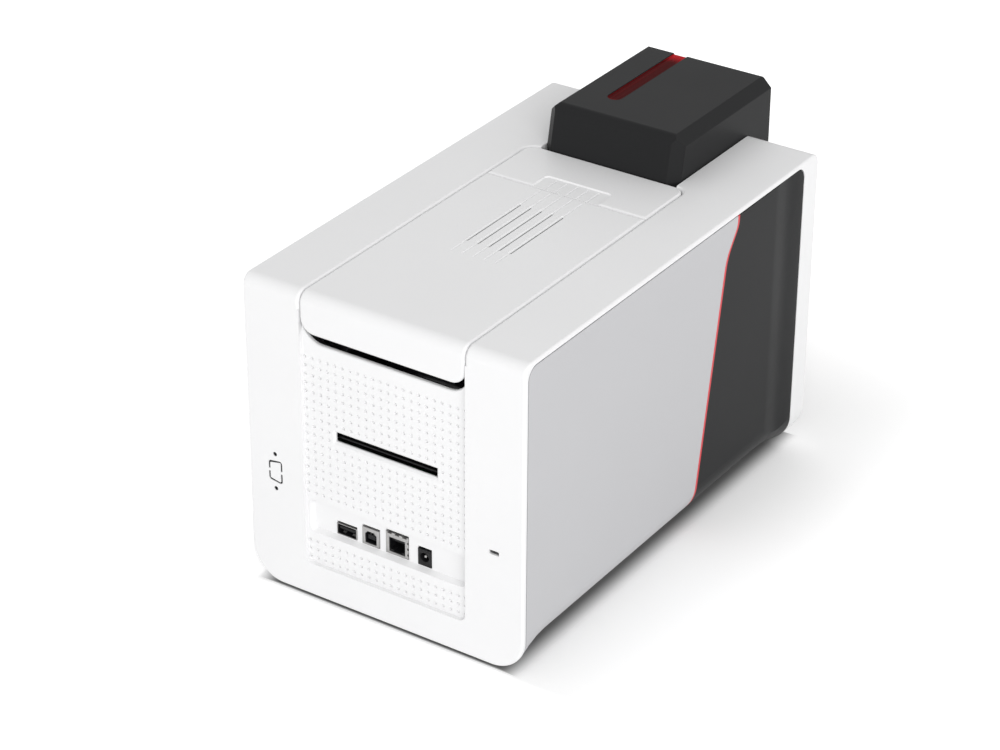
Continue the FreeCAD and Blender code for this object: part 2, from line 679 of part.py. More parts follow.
def top_frame():
    """The upper frame: two side strips with the lid opening and the feeder cut-out between them."""
    profile = rectangle(FRONT_Y, REAR_Y, PARTING_Z, BODY_TOP, 0, SHOULDER_RADIUS)
    outer = slab(profile, "yz", -HALF, HALF)
    outer = softened(outer, EDGE_SOFT, lambda edge: lies_beside(edge) and not lies_at(edge, 2, PARTING_Z))
    hollow = rectangle(FRONT_Y + WALL, REAR_Y - WALL, PARTING_Z - OVER, SKIN_TOP, 0, SHOULDER_RADIUS - WALL)
    shell = outer.cut(slab(hollow, "yz", WALL - HALF, HALF - WALL))
    side_window = slab(rectangle(SKIN_FRONT, SKIN_REAR, 0, SKIN_TOP, 0, PANEL_CORNER), "yz",
                       HALF - WALL, HALF + OVER)
    lid_opening = slab(rectangle(-OPENING_HALF, OPENING_HALF, FEEDER_REAR, REAR_Y + OVER,
                                 FLAP_CORNER + SEAM, 0), "xy", PARTING_Z - OVER, BODY_TOP + OVER)
    cutout = box(-CUTOUT_HALF, CUTOUT_HALF, FRONT_Y - OVER, FLAP_FRONT, PARTING_Z - OVER, BODY_TOP + OVER)
    shell = cut(shell, both_sides(side_window) + [lid_opening, cutout])

    def rims_lid(edge):
        bounds = edge.BoundBox
        beside = lies_at(edge, 0, OPENING_HALF) or lies_at(edge, 0, -OPENING_HALF)
        outside = bounds.ZMin > SKIN_TOP + NEAR or bounds.YMin > REAR_Y - WALL + NEAR
        corner = lies_at(edge, 2, BODY_TOP) and edge.Curve.TypeId == "Part::GeomCircle"
        return corner or (beside and outside and not lies_at(edge, 2, PARTING_Z))

    shell = softened(shell, SEAM_SOFT, rims_lid)
    flange_out = OPENING_HALF + RIM_WALL
    flanges = both_sides(box(OPENING_HALF, flange_out, FLAP_FRONT, SKIN_REAR, FLANGE_BOTTOM, SKIN_TOP))
    flanges += both_sides(box(CUTOUT_HALF, CUTOUT_HALF + RIM_WALL, FRONT_PANEL_BACK, FEEDER_REAR,
                              FLANGE_BOTTOM, SKIN_TOP))
    flanges += both_sides(box(CUTOUT_HALF, flange_out, FEEDER_REAR - RIM_WALL, FEEDER_REAR,
                              FLANGE_BOTTOM, SKIN_TOP))
    flanges += both_sides(box(flange_out - RIM_WALL, flange_out, FEEDER_REAR - RIM_WALL, FLAP_FRONT,
                              FLANGE_BOTTOM, SKIN_TOP))
    bridge = box(-flange_out, flange_out, FLAP_FRONT, FLAP_FRONT + BRIDGE_DEPTH, FLANGE_BOTTOM, BRIDGE_TOP)
    shelf = box(-SPRING_SHELF, SPRING_SHELF, FLAP_FRONT, FLAP_REAR - SPRING_SETBACK + SPRING_SHELF,
                FLANGE_BOTTOM, BRIDGE_TOP)
    bosses = both_sides(rod_x(HINGE_BOSS_RADIUS, OPENING_HALF, OPENING_HALF + HINGE_BOSS_WIDTH,
                              HINGE_Y, HINGE_Z))
    ear_x = FLAP_LUG_X + FLAP_LUG_WIDTH + RUN
    ears = both_sides(rod_x(FLAP_LUG_RADIUS, ear_x, ear_x + FLAP_LUG_WIDTH, FLAP_AXIS_Y, FLAP_AXIS_Z))
    ears += both_sides(box(ear_x, ear_x + FLAP_LUG_WIDTH, FLAP_AXIS_Y - FLAP_LUG_RADIUS,
                           FLAP_AXIS_Y + FLAP_LUG_RADIUS, FLANGE_BOTTOM, FLAP_AXIS_Z))
    whole = fused([shell, bridge, shelf] + flanges + bosses + ears)
    rod_hole = rod_x(HINGE_ROD_RADIUS, -HALF, HALF, HINGE_Y, HINGE_Z)
    pin_hole = rod_x(FLAP_PIN_RADIUS, -flange_out, flange_out, FLAP_AXIS_Y, FLAP_AXIS_Z)
    return cut(whole, [rod_hole, pin_hole])


def blank_groove():
    """The broken groove and the two screw marks of the knock-out for an optional connector."""
    half_w = BLANK_WIDTH / 2
    half_h = BLANK_HEIGHT / 2

    def ring(inset, depth):
        tall = half_h - inset
        short = tall - BLANK_SLANT
        wide = half_w - inset
        corners = [(BLANK_X - wide, BLANK_Z - tall, BLANK_CORNER - inset),
                   (BLANK_X + wide, BLANK_Z - short, BLANK_CORNER - inset),
                   (BLANK_X + wide, BLANK_Z + short, BLANK_CORNER - inset),
                   (BLANK_X - wide, BLANK_Z + tall, BLANK_CORNER - inset)]
        return slab(corners, "xz", REAR_Y - depth, REAR_Y + depth)

    groove = ring(0, BLANK_DEPTH).cut(ring(BLANK_GROOVE, BLANK_DEPTH + BLANK_DEPTH))
    gap = BLANK_BREAK / 2
    break_bar = box(BLANK_X - BLANK_WIDTH, BLANK_X + BLANK_WIDTH, REAR_Y - OVER, REAR_Y + OVER,
                    BLANK_Z - gap, BLANK_Z + gap)
    marks = [rod_y(BLANK_SCREW_RADIUS, REAR_Y - BLANK_DEPTH, REAR_Y + BLANK_DEPTH, BLANK_X,
                   BLANK_Z + side * BLANK_SCREW_REACH) for side in SIDES]
    return [groove.cut(break_bar)] + marks


def lock_slot(y0, y1, margin=0):
    half = LOCK_LENGTH / 2 + margin
    tall = LOCK_HEIGHT / 2 + margin
    return slab(rectangle(LOCK_X - half, LOCK_X + half, LOCK_Z - tall, LOCK_Z + tall, tall / 2),
                "xz", y0, y1)


def side_rims(y0, y1):
    """Two upright rims just inside the side panels, which line the panels up with a bezel."""
    outer = HALF - WALL
    return both_sides(box(outer - RIM_WALL, outer, y0, y1, RIM_END_INSET, PARTING_Z - RIM_WALL))


def rear_bezel():
    plate = body_section(0, 0, SKIN_REAR).extrude(vec(0, REAR_BAND, 0))
    plate = plate.cut(box(-WIDTH, WIDTH, 0, TOTAL_DEPTH, PARTING_Z, BODY_TOP + 2 * OVER))
    plate = softened(plate, EDGE_SOFT, lambda edge: lies_at(edge, 1, REAR_Y)
                     and not lies_at(edge, 2, PARTING_Z))
    opening = slab(rectangle(-PANEL_HALF, PANEL_HALF, PANEL_BOTTOM, PARTING_Z + OVER, PANEL_BASE_CORNER, 0),
                   "xz", SKIN_REAR - OVER, REAR_Y + OVER)
    slot = lock_slot(SKIN_REAR - OVER, REAR_Y + OVER)
    pocket = lock_slot(SKIN_REAR - OVER, SKIN_REAR + LOCK_POCKET, LOCK_POCKET)
    plate = cut(plate, [opening, slot, pocket] + blank_groove())
    return fused([plate] + side_rims(SKIN_REAR - RIM_REACH, SKIN_REAR))


def front_bezel():
    block = body_section(0, 0, FRONT_Y).extrude(vec(0, FRONT_BAND, 0))
    block = block.cut(box(-WIDTH, WIDTH, -TOTAL_DEPTH, 0, PARTING_Z, BODY_TOP + 2 * OVER))
    block = softened(block, EDGE_SOFT, lambda edge: lies_at(edge, 1, FRONT_Y)
                     and not lies_at(edge, 2, PARTING_Z))
    hollow = body_section(WALL, 0, FRONT_PANEL).extrude(vec(0, FRONT_BAND + OVER, 0))
    opening = slab(rectangle(-FRONT_OPEN_HALF, FRONT_OPEN_HALF, FRONT_OPEN_BOTTOM, PARTING_Z + OVER,
                             FRONT_OPEN_CORNER, 0), "xz", FRONT_Y - OVER, FRONT_PANEL + OVER)
    shell = cut(block, [hollow, opening])
    return fused([shell] + side_rims(SKIN_FRONT - RIM_REACH / 2, SKIN_FRONT + RIM_REACH))


def base_tray():
    floor = skin().common(box(-BASE_HALF, BASE_HALF, SKIN_FRONT, SKIN_REAR, 0, BASE_TOP))
    wall_top = PANEL_BOTTOM - PANEL_LAP - SEAM
    half = BASE_HALF - SEAM
    low = FOOT_HEIGHT + PANEL_WALL / 2
    rear_wall = box(-half, half, PANEL_BACK, SKIN_REAR, low, wall_top)
    pads = [rod_z(FOOT_PAD_RADIUS, FOOT_HEIGHT, BASE_TOP, x, y) for x, y in FOOT_PLACES]
    rails = both_sides(box(RAIL_X, RAIL_X + RAIL_WIDTH, SKIN_FRONT + RAIL_INSET, BIN_REAR,
                           BASE_TOP - PANEL_WALL / 2, BIN_BOTTOM - RUN))
    posts = [rod_z(MAIN_POST_RADIUS, BASE_TOP - PANEL_WALL / 2, MAIN_BOARD_TOP - BOARD,
                   side * (MAIN_BOARD_HALF - MAIN_POST_INSET), y)
             for side in SIDES for y in (MAIN_BOARD_FRONT + MAIN_POST_INSET, SOCKET_BACK - MAIN_POST_INSET)]
    tray = fused([floor, rear_wall] + pads + rails + posts)
    return cut(tray, [rod_z(SCREW_SHANK + FIT, 0, BASE_TOP + OVER, side * BASE_SCREW_X, y)
                      for side in SIDES for y in BASE_SCREW_YS])


# Rear panel and connectors

def card_slot():
    half = CARD_SLOT_HEIGHT / 2
    return rectangle(-CARD_SLOT_HALF, CARD_SLOT_HALF, PATH_Z - half, PATH_Z + half)


def rear_panel():
    plate = box(-PANEL_HALF - PANEL_LAP, PANEL_HALF + PANEL_LAP, PANEL_BACK, SKIN_REAR,
                PANEL_BOTTOM - PANEL_LAP, FLANGE_BOTTOM - PANEL_TAB_GAP)
    above = slab(rectangle(-PANEL_HALF, PANEL_HALF, PANEL_TOP, BODY_TOP, PANEL_TOP_CORNER, 0), "xz",
                 PANEL_BACK - OVER, SKIN_REAR + OVER)
    bay = slab(rectangle(-BAY_HALF, BAY_HALF, BAY_BOTTOM, BAY_TOP, BAY_CORNER), "xz",
               PANEL_BACK - OVER, SKIN_REAR + OVER)
    slot = slab(card_slot(), "xz", PANEL_BACK - OVER, SKIN_REAR + OVER)
    plate = cut(plate, [bay, slot, above])

    def is_slot_edge(edge):
        bounds = edge.BoundBox
        tall = CARD_SLOT_HEIGHT / 2 + NEAR
        return lies_at(edge, 1, SKIN_REAR) and bounds.ZMin > PATH_Z - tall and bounds.ZMax < PATH_Z + tall

    def is_top_edge(edge):
        return (lies_at(edge, 1, SKIN_REAR) and edge.BoundBox.ZMin > PANEL_TOP - NEAR
                and abs(edge.CenterOfMass.x) < PANEL_HALF)

    plate = plate.makeChamfer(CARD_SLOT_BEVEL, [edge for edge in plate.Edges if is_slot_edge(edge)])
    return softened(plate, PANEL_TOP_BEVEL, is_top_edge)


def sockets():
    """(middle, width, height) of each socket along the board."""
    return [(USB_HOST_X, USB_HOST_WIDTH, USB_HOST_HEIGHT),
            (USB_DEVICE_X, USB_DEVICE_WIDTH, USB_DEVICE_HEIGHT),
            (NETWORK_X, NETWORK_WIDTH, NETWORK_HEIGHT), (POWER_X, POWER_WIDTH, POWER_HEIGHT)]


def connector_bay():
    body = slab(rectangle(-BAY_HALF, BAY_HALF, BAY_BOTTOM, BAY_TOP, BAY_CORNER), "xz",
                BAY_FLOOR - BAY_WALL, SKIN_REAR)
    flange = box(-BAY_HALF - BAY_LAP, BAY_HALF + BAY_LAP, BAY_FLOOR - BAY_WALL, PANEL_BACK,
                 BAY_BOTTOM - BAY_LAP, BAY_TOP + BAY_LAP)
    wires = []
    for inset, y in ((BAY_LIP, SKIN_REAR), (BAY_LIP + BAY_DRAFT, BAY_FLOOR)):
        corners = rectangle(-BAY_HALF + inset, BAY_HALF - inset, BAY_BOTTOM + inset, BAY_TOP - inset,
                            BAY_CORNER - inset)
        wires.append(outline(corners, "xz", y).OuterWire)
    pocket = Part.makeLoft(wires, True)
    holes = [box(x - width / 2 - SOCKET_RELIEF, x + width / 2 + SOCKET_RELIEF, BAY_FLOOR - OVER,
                 SKIN_REAR + OVER, MAIN_BOARD_TOP - SOCKET_RELIEF,
                 MAIN_BOARD_TOP + height + SOCKET_HEADROOM)
             for x, width, height in sockets()]
    return cut(fused([body, flange]), [pocket] + holes)


def socket_block(x, width, height):
    return box(x - width / 2, x + width / 2, SOCKET_BACK, SOCKET_FACE, MAIN_BOARD_TOP,
               MAIN_BOARD_TOP + height)


def usb_host_shell():
    hollow = box(USB_HOST_X - USB_HOST_WIDTH / 2 + SHELL, USB_HOST_X + USB_HOST_WIDTH / 2 - SHELL,
                 SOCKET_BACK + SHELL, SOCKET_FACE + OVER, MAIN_BOARD_TOP + SHELL,
                 MAIN_BOARD_TOP + USB_HOST_HEIGHT - SHELL)
    return socket_block(USB_HOST_X, USB_HOST_WIDTH, USB_HOST_HEIGHT).cut(hollow)


def device_hole(y0, y1):
    """The square hole with two cut upper corners."""
    half = USB_DEVICE_HOLE / 2
    low = MAIN_BOARD_TOP + USB_DEVICE_HOLE_RISE
    high = low + USB_DEVICE_HOLE
    corners = [(-half, low), (half, low), (half, high - USB_DEVICE_CUT), (half - USB_DEVICE_CUT, high),
               (USB_DEVICE_CUT - half, high), (-half, high - USB_DEVICE_CUT)]
    return slab([(USB_DEVICE_X + u, v, 0) for u, v in corners], "xz", y0, y1)


def usb_device_shell():
    block = socket_block(USB_DEVICE_X, USB_DEVICE_WIDTH, USB_DEVICE_HEIGHT)
    return block.cut(device_hole(SOCKET_BACK + SHELL, SOCKET_FACE + OVER))


def network_hole(y0, y1):
    half = NETWORK_HOLE_WIDTH / 2
    low = MAIN_BOARD_TOP + NETWORK_HOLE_RISE
    return box(NETWORK_X - half, NETWORK_X + half, y0, y1, low, low + NETWORK_HOLE_HEIGHT)


def network_shell():
    block = socket_block(NETWORK_X, NETWORK_WIDTH, NETWORK_HEIGHT)
    return block.cut(network_hole(SOCKET_BACK + SHELL, SOCKET_FACE + OVER))


def power_socket():
    axis_z = MAIN_BOARD_TOP + POWER_AXIS_RISE
    block = socket_block(POWER_X, POWER_WIDTH, POWER_HEIGHT)
    bore_end = SOCKET_FACE - POWER_BORE_DEPTH
    bore = rod_y(POWER_BORE, bore_end, SOCKET_FACE + OVER, POWER_X, axis_z)
    pin = rod_y(POWER_PIN, bore_end - POWER_PIN, SOCKET_FACE - POWER_PIN, POWER_X, axis_z)
    return fused([block.cut(bore), pin])


def socket_cores():
    """The black insulators inside the metal shells: a back block and a tongue in each."""
    back = SOCKET_BACK + SHELL
    tongue_end = SOCKET_FACE - TONGUE_INSET
    half = USB_HOST_WIDTH / 2 - SHELL
    host_mid = MAIN_BOARD_TOP + USB_HOST_HEIGHT / 2
    host = [box(USB_HOST_X - half, USB_HOST_X + half, back, back + CORE_DEPTH, MAIN_BOARD_TOP + SHELL,
                MAIN_BOARD_TOP + USB_HOST_HEIGHT - SHELL),
            box(USB_HOST_X - half + TONGUE_INSET, USB_HOST_X + half - TONGUE_INSET, back, tongue_end,
                host_mid, host_mid + TONGUE)]
    device_mid = MAIN_BOARD_TOP + USB_DEVICE_HOLE_RISE + USB_DEVICE_HOLE / 2
    device = [device_hole(back, back + CORE_DEPTH),
              box(USB_DEVICE_X - TONGUE, USB_DEVICE_X + TONGUE, back, tongue_end, device_mid - TONGUE,
                  device_mid + TONGUE)]
    network = network_hole(back, back + CORE_DEPTH)
    return Part.makeCompound([fused(host), fused(device), network])


def main_board():
    return box(-MAIN_BOARD_HALF, MAIN_BOARD_HALF, MAIN_BOARD_FRONT, MAIN_BOARD_REAR, MAIN_BOARD_TOP - BOARD,
               MAIN_BOARD_TOP)


def lock_anchor():
    half = LOCK_LENGTH / 2 + LOCK_MARGIN
    tall = LOCK_HEIGHT / 2 + LOCK_MARGIN
    plate = box(LOCK_X - half, LOCK_X + half, SKIN_REAR - SHEET, SKIN_REAR, LOCK_Z - tall, LOCK_Z + tall)
    return plate.cut(lock_slot(SKIN_REAR - OVER, REAR_Y))


# Lid, flap and what they carry

def groove_xs():
    middle = (GROOVE_COUNT - 1) / 2
    return [(index - middle) * GROOVE_PITCH for index in range(GROOVE_COUNT)]


def countersink(u0, u1, v0, v1, corner, depth):
    """A rounded pocket in the top face whose walls slope at 45 degrees."""
    wires = []
    for inset in (depth, -depth):
        corners = rectangle(u0 + inset, u1 - inset, v0 + inset, v1 - inset, corner - inset)
        wires.append(outline(corners, "xy", BODY_TOP - inset).OuterWire)
    return Part.makeLoft(wires, True)


def vee(x, y0, y1, surface):
    """A groove with a V section along Y in a level surface."""
    low = surface - GROOVE_DEPTH
    high = surface + GROOVE_DEPTH
    reach = GROOVE_DEPTH + GROOVE_DEPTH
    return slab([(x - reach, high, 0), (x, low, 0), (x + reach, high, 0)], "xz", y0, y1)


def pad_and_grooves():
    """The shallow finger pad across the seam, the vent grooves behind it and the through slots."""
    front = FLAP_REAR - GROOVE_FRONT_REACH
    tools = [countersink(-PAD_HALF, PAD_HALF, FLAP_REAR - PAD_FRONT_REACH, FLAP_REAR + PAD_REAR_REACH,
                         PAD_CORNER, PAD_DEPTH)]
    for x in groove_xs():
        y0 = FLAP_REAR + SLOT_START
        y1 = FLAP_REAR + SLOT_END
        half = SLOT_WIDTH / 2
        throat = half - SLOT_CHAMFER
        relief = half + SLOT_RELIEF
        tools.append(vee(x, front, FLAP_REAR + PAD_REAR_REACH - PAD_DEPTH, BODY_TOP - PAD_DEPTH))
        tools.append(vee(x, FLAP_REAR, FLAP_REAR + GROOVE_REAR_REACH, BODY_TOP))
        tools.append(countersink(x - half, x + half, y0, y1, SLOT_CORNER, SLOT_CHAMFER))
        tools.append(box(x - throat, x + throat, y0 + SLOT_CHAMFER, y1 - SLOT_CHAMFER, SKIN_TOP - OVER,
                         BODY_TOP))
        tools.append(box(x - relief, x + relief, y0 - SLOT_RELIEF, y1 + SLOT_RELIEF, SKIN_TOP - OVER,
                         BODY_TOP - SLOT_EDGE))
    return tools


def lid():
    profile = [(LID_FRONT, BODY_TOP, 0), (REAR_Y, BODY_TOP, SHOULDER_RADIUS), (REAR_Y, LIP_Z, 0),
               (REAR_Y - WALL, LIP_Z, 0), (REAR_Y - WALL, SKIN_TOP, SHOULDER_RADIUS - WALL),
               (LID_FRONT, SKIN_TOP, 0)]
    shell = slab(profile, "yz", -LID_HALF, LID_HALF)
    face = slab(rectangle(-LID_HALF, LID_HALF, LIP_Z, BODY_TOP + OVER, LIP_CORNER, 0), "xz",
                LID_FRONT - OVER, REAR_Y + OVER)
    shell = shell.common(face)

    def is_outer(edge):
        bounds = edge.BoundBox
        beside = abs(bounds.XMax - bounds.XMin) < NEAR and abs(abs(bounds.XMin) - LID_HALF) < NEAR
        outside = bounds.ZMax > SKIN_TOP + NEAR or bounds.YMax > REAR_Y - WALL + NEAR
        lip = lies_at(edge, 1, REAR_Y)
        leading = lies_at(edge, 1, LID_FRONT) and lies_at(edge, 2, BODY_TOP)
        return lip or leading or (beside and outside and not lies_at(edge, 1, LID_FRONT))

    shell = softened(shell, SEAM_SOFT, is_outer)
    return cut(shell, pad_and_grooves())


def lid_liner():
    """The inner frame of the lid, with the hinge lugs, the arms of the print head and the catches."""
    half = LINER_HALF
    pan = slab(rectangle(-half, half, LINER_FRONT, LINER_REAR, LINER_CORNER), "xy", LINER_BOTTOM, SKIN_TOP)
    pocket = slab(rectangle(LINER_WALL - half, half - LINER_WALL, LINER_FRONT + LINER_WALL,
                            LINER_REAR - LINER_WALL, LINER_CORNER - LINER_WALL), "xy",
                  LINER_BOTTOM - OVER, SKIN_TOP - LINER_WALL)
    edge_x = groove_xs()[-1] + SLOT_WIDTH
    vent = box(-edge_x, edge_x, FLAP_REAR + SLOT_START - SLOT_WIDTH, FLAP_REAR + SLOT_END + SLOT_WIDTH,
               LINER_BOTTOM, SKIN_TOP + OVER)
    pan = cut(pan, [pocket, vent])
    lug_end = HINGE_LUG_X + HINGE_LUG_WIDTH
    lugs = both_sides(rod_x(HINGE_LUG_RADIUS, HINGE_LUG_X, lug_end, HINGE_Y, HINGE_Z))
    lugs += both_sides(box(HINGE_LUG_X, lug_end, LINER_REAR - LINER_CORNER - LINER_WALL, HINGE_Y,
                           HINGE_Z - HINGE_LUG_RADIUS, HINGE_Z + HINGE_LUG_RADIUS))
    arms = both_sides(box(HEAD_HALF, HEAD_HALF + ARM_THICKNESS, PLATEN_Y - SINK_DEPTH / 2,
                          PLATEN_Y + SINK_DEPTH / 2, HEAD_Z + HEAD_HEIGHT / 2, SKIN_TOP - LINER_WALL))
    catches = both_sides(box(HOOK_X - CATCH_WIDTH / 2, HOOK_X + CATCH_WIDTH / 2, LINER_FRONT,
                             LINER_FRONT + LINER_WALL, SKIN_TOP - HOOK_REACH, LINER_BOTTOM + LINER_WALL))
    whole = fused([pan] + lugs + arms + catches)
    return whole.cut(rod_x(HINGE_ROD_RADIUS + FIT, -HALF, HALF, HINGE_Y, HINGE_Z))


def lid_hinge_rod():
    end = OPENING_HALF + HINGE_BOSS_WIDTH
    return rod_x(HINGE_ROD_RADIUS, -end, end, HINGE_Y, HINGE_Z)


def release_flap():
    plate = slab(rectangle(-LID_HALF, LID_HALF, FLAP_FRONT, FLAP_REAR, FLAP_CORNER, 0), "xy",
                 SKIN_TOP, BODY_TOP)
    plate = softened(plate, SEAM_SOFT, lambda edge: lies_at(edge, 2, BODY_TOP))
    plate = cut(plate, pad_and_grooves())
    lug_end = FLAP_LUG_X + FLAP_LUG_WIDTH
    lugs = both_sides(rod_x(FLAP_LUG_RADIUS, FLAP_LUG_X, lug_end, FLAP_AXIS_Y, FLAP_AXIS_Z))
    lugs += both_sides(box(FLAP_LUG_X, lug_end, FLAP_AXIS_Y - FLAP_LUG_RADIUS, FLAP_AXIS_Y + FLAP_LUG_RADIUS,
                           FLAP_AXIS_Z, SKIN_TOP + WALL / 2))
    hook_rear = FLAP_REAR - HOOK_THICKNESS / 2
    hooks = both_sides(box(HOOK_X - HOOK_WIDTH / 2, HOOK_X + HOOK_WIDTH / 2, hook_rear - HOOK_THICKNESS,
                           hook_rear, SKIN_TOP - HOOK_REACH, SKIN_TOP + WALL / 2))
    hooks += both_sides(box(HOOK_X - HOOK_WIDTH / 2, HOOK_X + HOOK_WIDTH / 2, hook_rear - HOOK_THICKNESS,
                            LINER_FRONT - HOOK_GAP, SKIN_TOP - HOOK_REACH,
                            SKIN_TOP - HOOK_REACH + HOOK_THICKNESS))
    whole = fused([plate] + lugs + hooks)
    return whole.cut(rod_x(FLAP_PIN_RADIUS + FIT, -HALF, HALF, FLAP_AXIS_Y, FLAP_AXIS_Z))


def flap_hinge_pins():
    end = FLAP_LUG_X + FLAP_LUG_WIDTH + RUN + FLAP_LUG_WIDTH
    return Part.makeCompound(both_sides(rod_x(FLAP_PIN_RADIUS, FLAP_LUG_X, end, FLAP_AXIS_Y, FLAP_AXIS_Z)))


def flap_spring():
    """The coil spring that pushes the flap up again."""
    height = SKIN_TOP - BRIDGE_TOP - 2 * SPRING_WIRE
    helix = Part.makeHelix(height / SPRING_TURNS, height, SPRING_RADIUS)
    start = helix.Edges[0].firstVertex().Point
    section = Part.Wire(Part.makeCircle(SPRING_WIRE, start, vec(0, 1, 0)))
    coil = Part.Wire(helix.Edges).makePipeShell([section], True, True)
    coil.translate(vec(0, FLAP_REAR - SPRING_SETBACK, BRIDGE_TOP + SPRING_WIRE))
    return coil


def print_head():
    return box(-HEAD_HALF, HEAD_HALF, PLATEN_Y - HEAD_DEPTH / 2, PLATEN_Y + HEAD_DEPTH / 2, HEAD_Z, SINK_Z)


def heat_sink():
    half = SINK_DEPTH / 2
    pitch = (2 * HEAD_HALF - SINK_FIN) / (SINK_FINS - 1)
    block = [box(-HEAD_HALF, HEAD_HALF, PLATEN_Y - half, PLATEN_Y + half, SINK_Z, SINK_Z + SINK_BASE)]
    for index in range(SINK_FINS):
        x = -HEAD_HALF + index * pitch
        block.append(box(x, x + SINK_FIN, PLATEN_Y - half, PLATEN_Y + half, SINK_Z, SINK_Z + SINK_HEIGHT))
    return fused(block)


# Card feeder

def hood_blank(inset):
    """The outer form of the feeder hood, inset from its faces: upright at the front, chamfered along
    the sides, with a rear face and rear corners that lean forwards above the body."""
    low = HOOD_BOTTOM - OVER
    shoulder = TOTAL_HEIGHT - HOOD_CHAMFER
    shelf = HOOD_HALF - HOOD_CHAMFER
    corner = FEEDER_REAR - HOOD_CHAMFER
    ahead = FEEDER_FRONT - OVER
    brow_y = FEEDER_REAR - HOOD_LEAN
    brow_z = TOTAL_HEIGHT - HOOD_BREAK_DROP
    along = [(FEEDER_FRONT, low, 0), (FEEDER_FRONT, TOTAL_HEIGHT, HOOD_SOFT),
             (brow_y - HOOD_BREAK, TOTAL_HEIGHT, HOOD_BREAK_SOFT), (brow_y, brow_z, HOOD_BREAK_SOFT),
             (FEEDER_REAR, BODY_TOP, 0), (FEEDER_REAR, low, 0)]
    across = [(-HOOD_HALF, low, 0), (-HOOD_HALF, shoulder, HOOD_SOFT), (-shelf, TOTAL_HEIGHT, HOOD_SOFT),
              (shelf, TOTAL_HEIGHT, HOOD_SOFT), (HOOD_HALF, shoulder, HOOD_SOFT), (HOOD_HALF, low, 0)]
    plan = [(-HOOD_HALF, ahead, 0), (HOOD_HALF, ahead, 0), (HOOD_HALF, corner, HOOD_SOFT),
            (shelf, FEEDER_REAR, HOOD_SOFT), (-shelf, FEEDER_REAR, HOOD_SOFT),
            (-HOOD_HALF, corner, HOOD_SOFT)]
    form = slab(inset_corners(along, inset), "yz", -HOOD_HALF, HOOD_HALF)
    form = form.common(slab(inset_corners(across, inset), "xz", FEEDER_FRONT, FEEDER_REAR))
    lean = vec(0, -HOOD_LEAN, brow_z - BODY_TOP) * ((TOTAL_HEIGHT + OVER - BODY_TOP) / (brow_z - BODY_TOP))
    footprint = outline(inset_corners(plan, inset), "xy", BODY_TOP)
    return form.common(fused([footprint.extrude(vec(0, 0, low - BODY_TOP)), footprint.extrude(lean)]))


def gauge_opening():
    half = GAUGE_WIDTH / 2
    return slab(rectangle(GAUGE_X - half, GAUGE_X + half, FEEDER_FRONT - OVER, FEEDER_REAR - GAUGE_SETBACK,
                          0, GAUGE_RADIUS), "xy", GAUGE_BOTTOM, TOTAL_HEIGHT + OVER)


def feeder_hood():
    outer = hood_blank(0)
    profile = [(FEEDER_FRONT - OVER, HOOD_BOTTOM, 0), (HOOD_FACE, HOOD_BOTTOM, HOOD_ROUND),
               (HOOD_FACE, BODY_TOP - HOOD_SKIRT, 0), (FEEDER_REAR + OVER, BODY_TOP - HOOD_SKIRT, 0),
               (FEEDER_REAR + OVER, TOTAL_HEIGHT + OVER, 0), (FEEDER_FRONT - OVER, TOTAL_HEIGHT + OVER, 0)]
    outer = outer.common(slab(profile, "yz", -HALF, HALF))
    cavity = hood_blank(HOOD_WALL)
    sill = box(-HOOD_HALF, HOOD_HALF, FEEDER_FRONT, HOOD_AXIS_Y - HOOD_SILL, HOOD_BOTTOM,
               HOOD_BOTTOM + HOOD_WALL)
    hood = outer.cut(cavity.cut(sill))
    pins = rod_x(HOOD_PIN_RADIUS + FIT, -HALF, HALF, HOOD_AXIS_Y, HOOD_AXIS_Z)
    return cut(hood, [gauge_opening(), pins])


def gauge_window():
    """The red strip over the top and down the front, a little below the faces of the hood."""
    outer = hood_blank(GAUGE_SINK)
    inner = hood_blank(GAUGE_SINK + GAUGE_THICKNESS)
    return outer.cut(inner).common(gauge_opening())


def hood_hinge_pins():
    inner = HOOD_HALF - HOOD_WALL - RUN - HOOD_LUG_WIDTH
    pin = rod_x(HOOD_PIN_RADIUS, inner, HOOD_HALF - FIT, HOOD_AXIS_Y, HOOD_AXIS_Z)
    return Part.makeCompound(both_sides(pin))


def roller_window(y, z0, z1):
    half = ROLLER_HALF + WINDOW_MARGIN
    reach = ROLLER_RADIUS + WINDOW_MARGIN
    return box(-half, half, y - reach, y + reach, z0, z1)


def feeder_tray():
    low = GUIDE_TOP - TRAY_WALL
    outer = box(-TRAY_HALF - TRAY_WALL, TRAY_HALF + TRAY_WALL, TRAY_FRONT - TRAY_WALL, TRAY_REAR + TRAY_WALL,
                low, TRAY_TOP)
    wing = box(-CHASSIS_HALF, CHASSIS_HALF, CHASSIS_FRONT, TRAY_REAR + TRAY_WALL, low, GUIDE_TOP)
    pocket = box(-TRAY_HALF, TRAY_HALF, TRAY_FRONT, TRAY_REAR, GUIDE_TOP, TRAY_TOP + OVER)
    gate = box(-TRAY_HALF, TRAY_HALF, TRAY_REAR - TRAY_WALL, TRAY_REAR + OVER, GUIDE_TOP,
               GUIDE_TOP + TRAY_GATE)
    notch = slab(rectangle(-TRAY_NOTCH_HALF, TRAY_NOTCH_HALF, TRAY_NOTCH_BOTTOM, TRAY_TOP + OVER,
                           TRAY_NOTCH_HALF / 2, 0), "xz", TRAY_FRONT - OVER, TRAY_FRONT + TRAY_WALL)
    window = roller_window(FEED_Y, low - OVER, GUIDE_TOP + TRAY_GATE)
    return cut(fused([outer, wing]), [pocket, gate, notch, window])


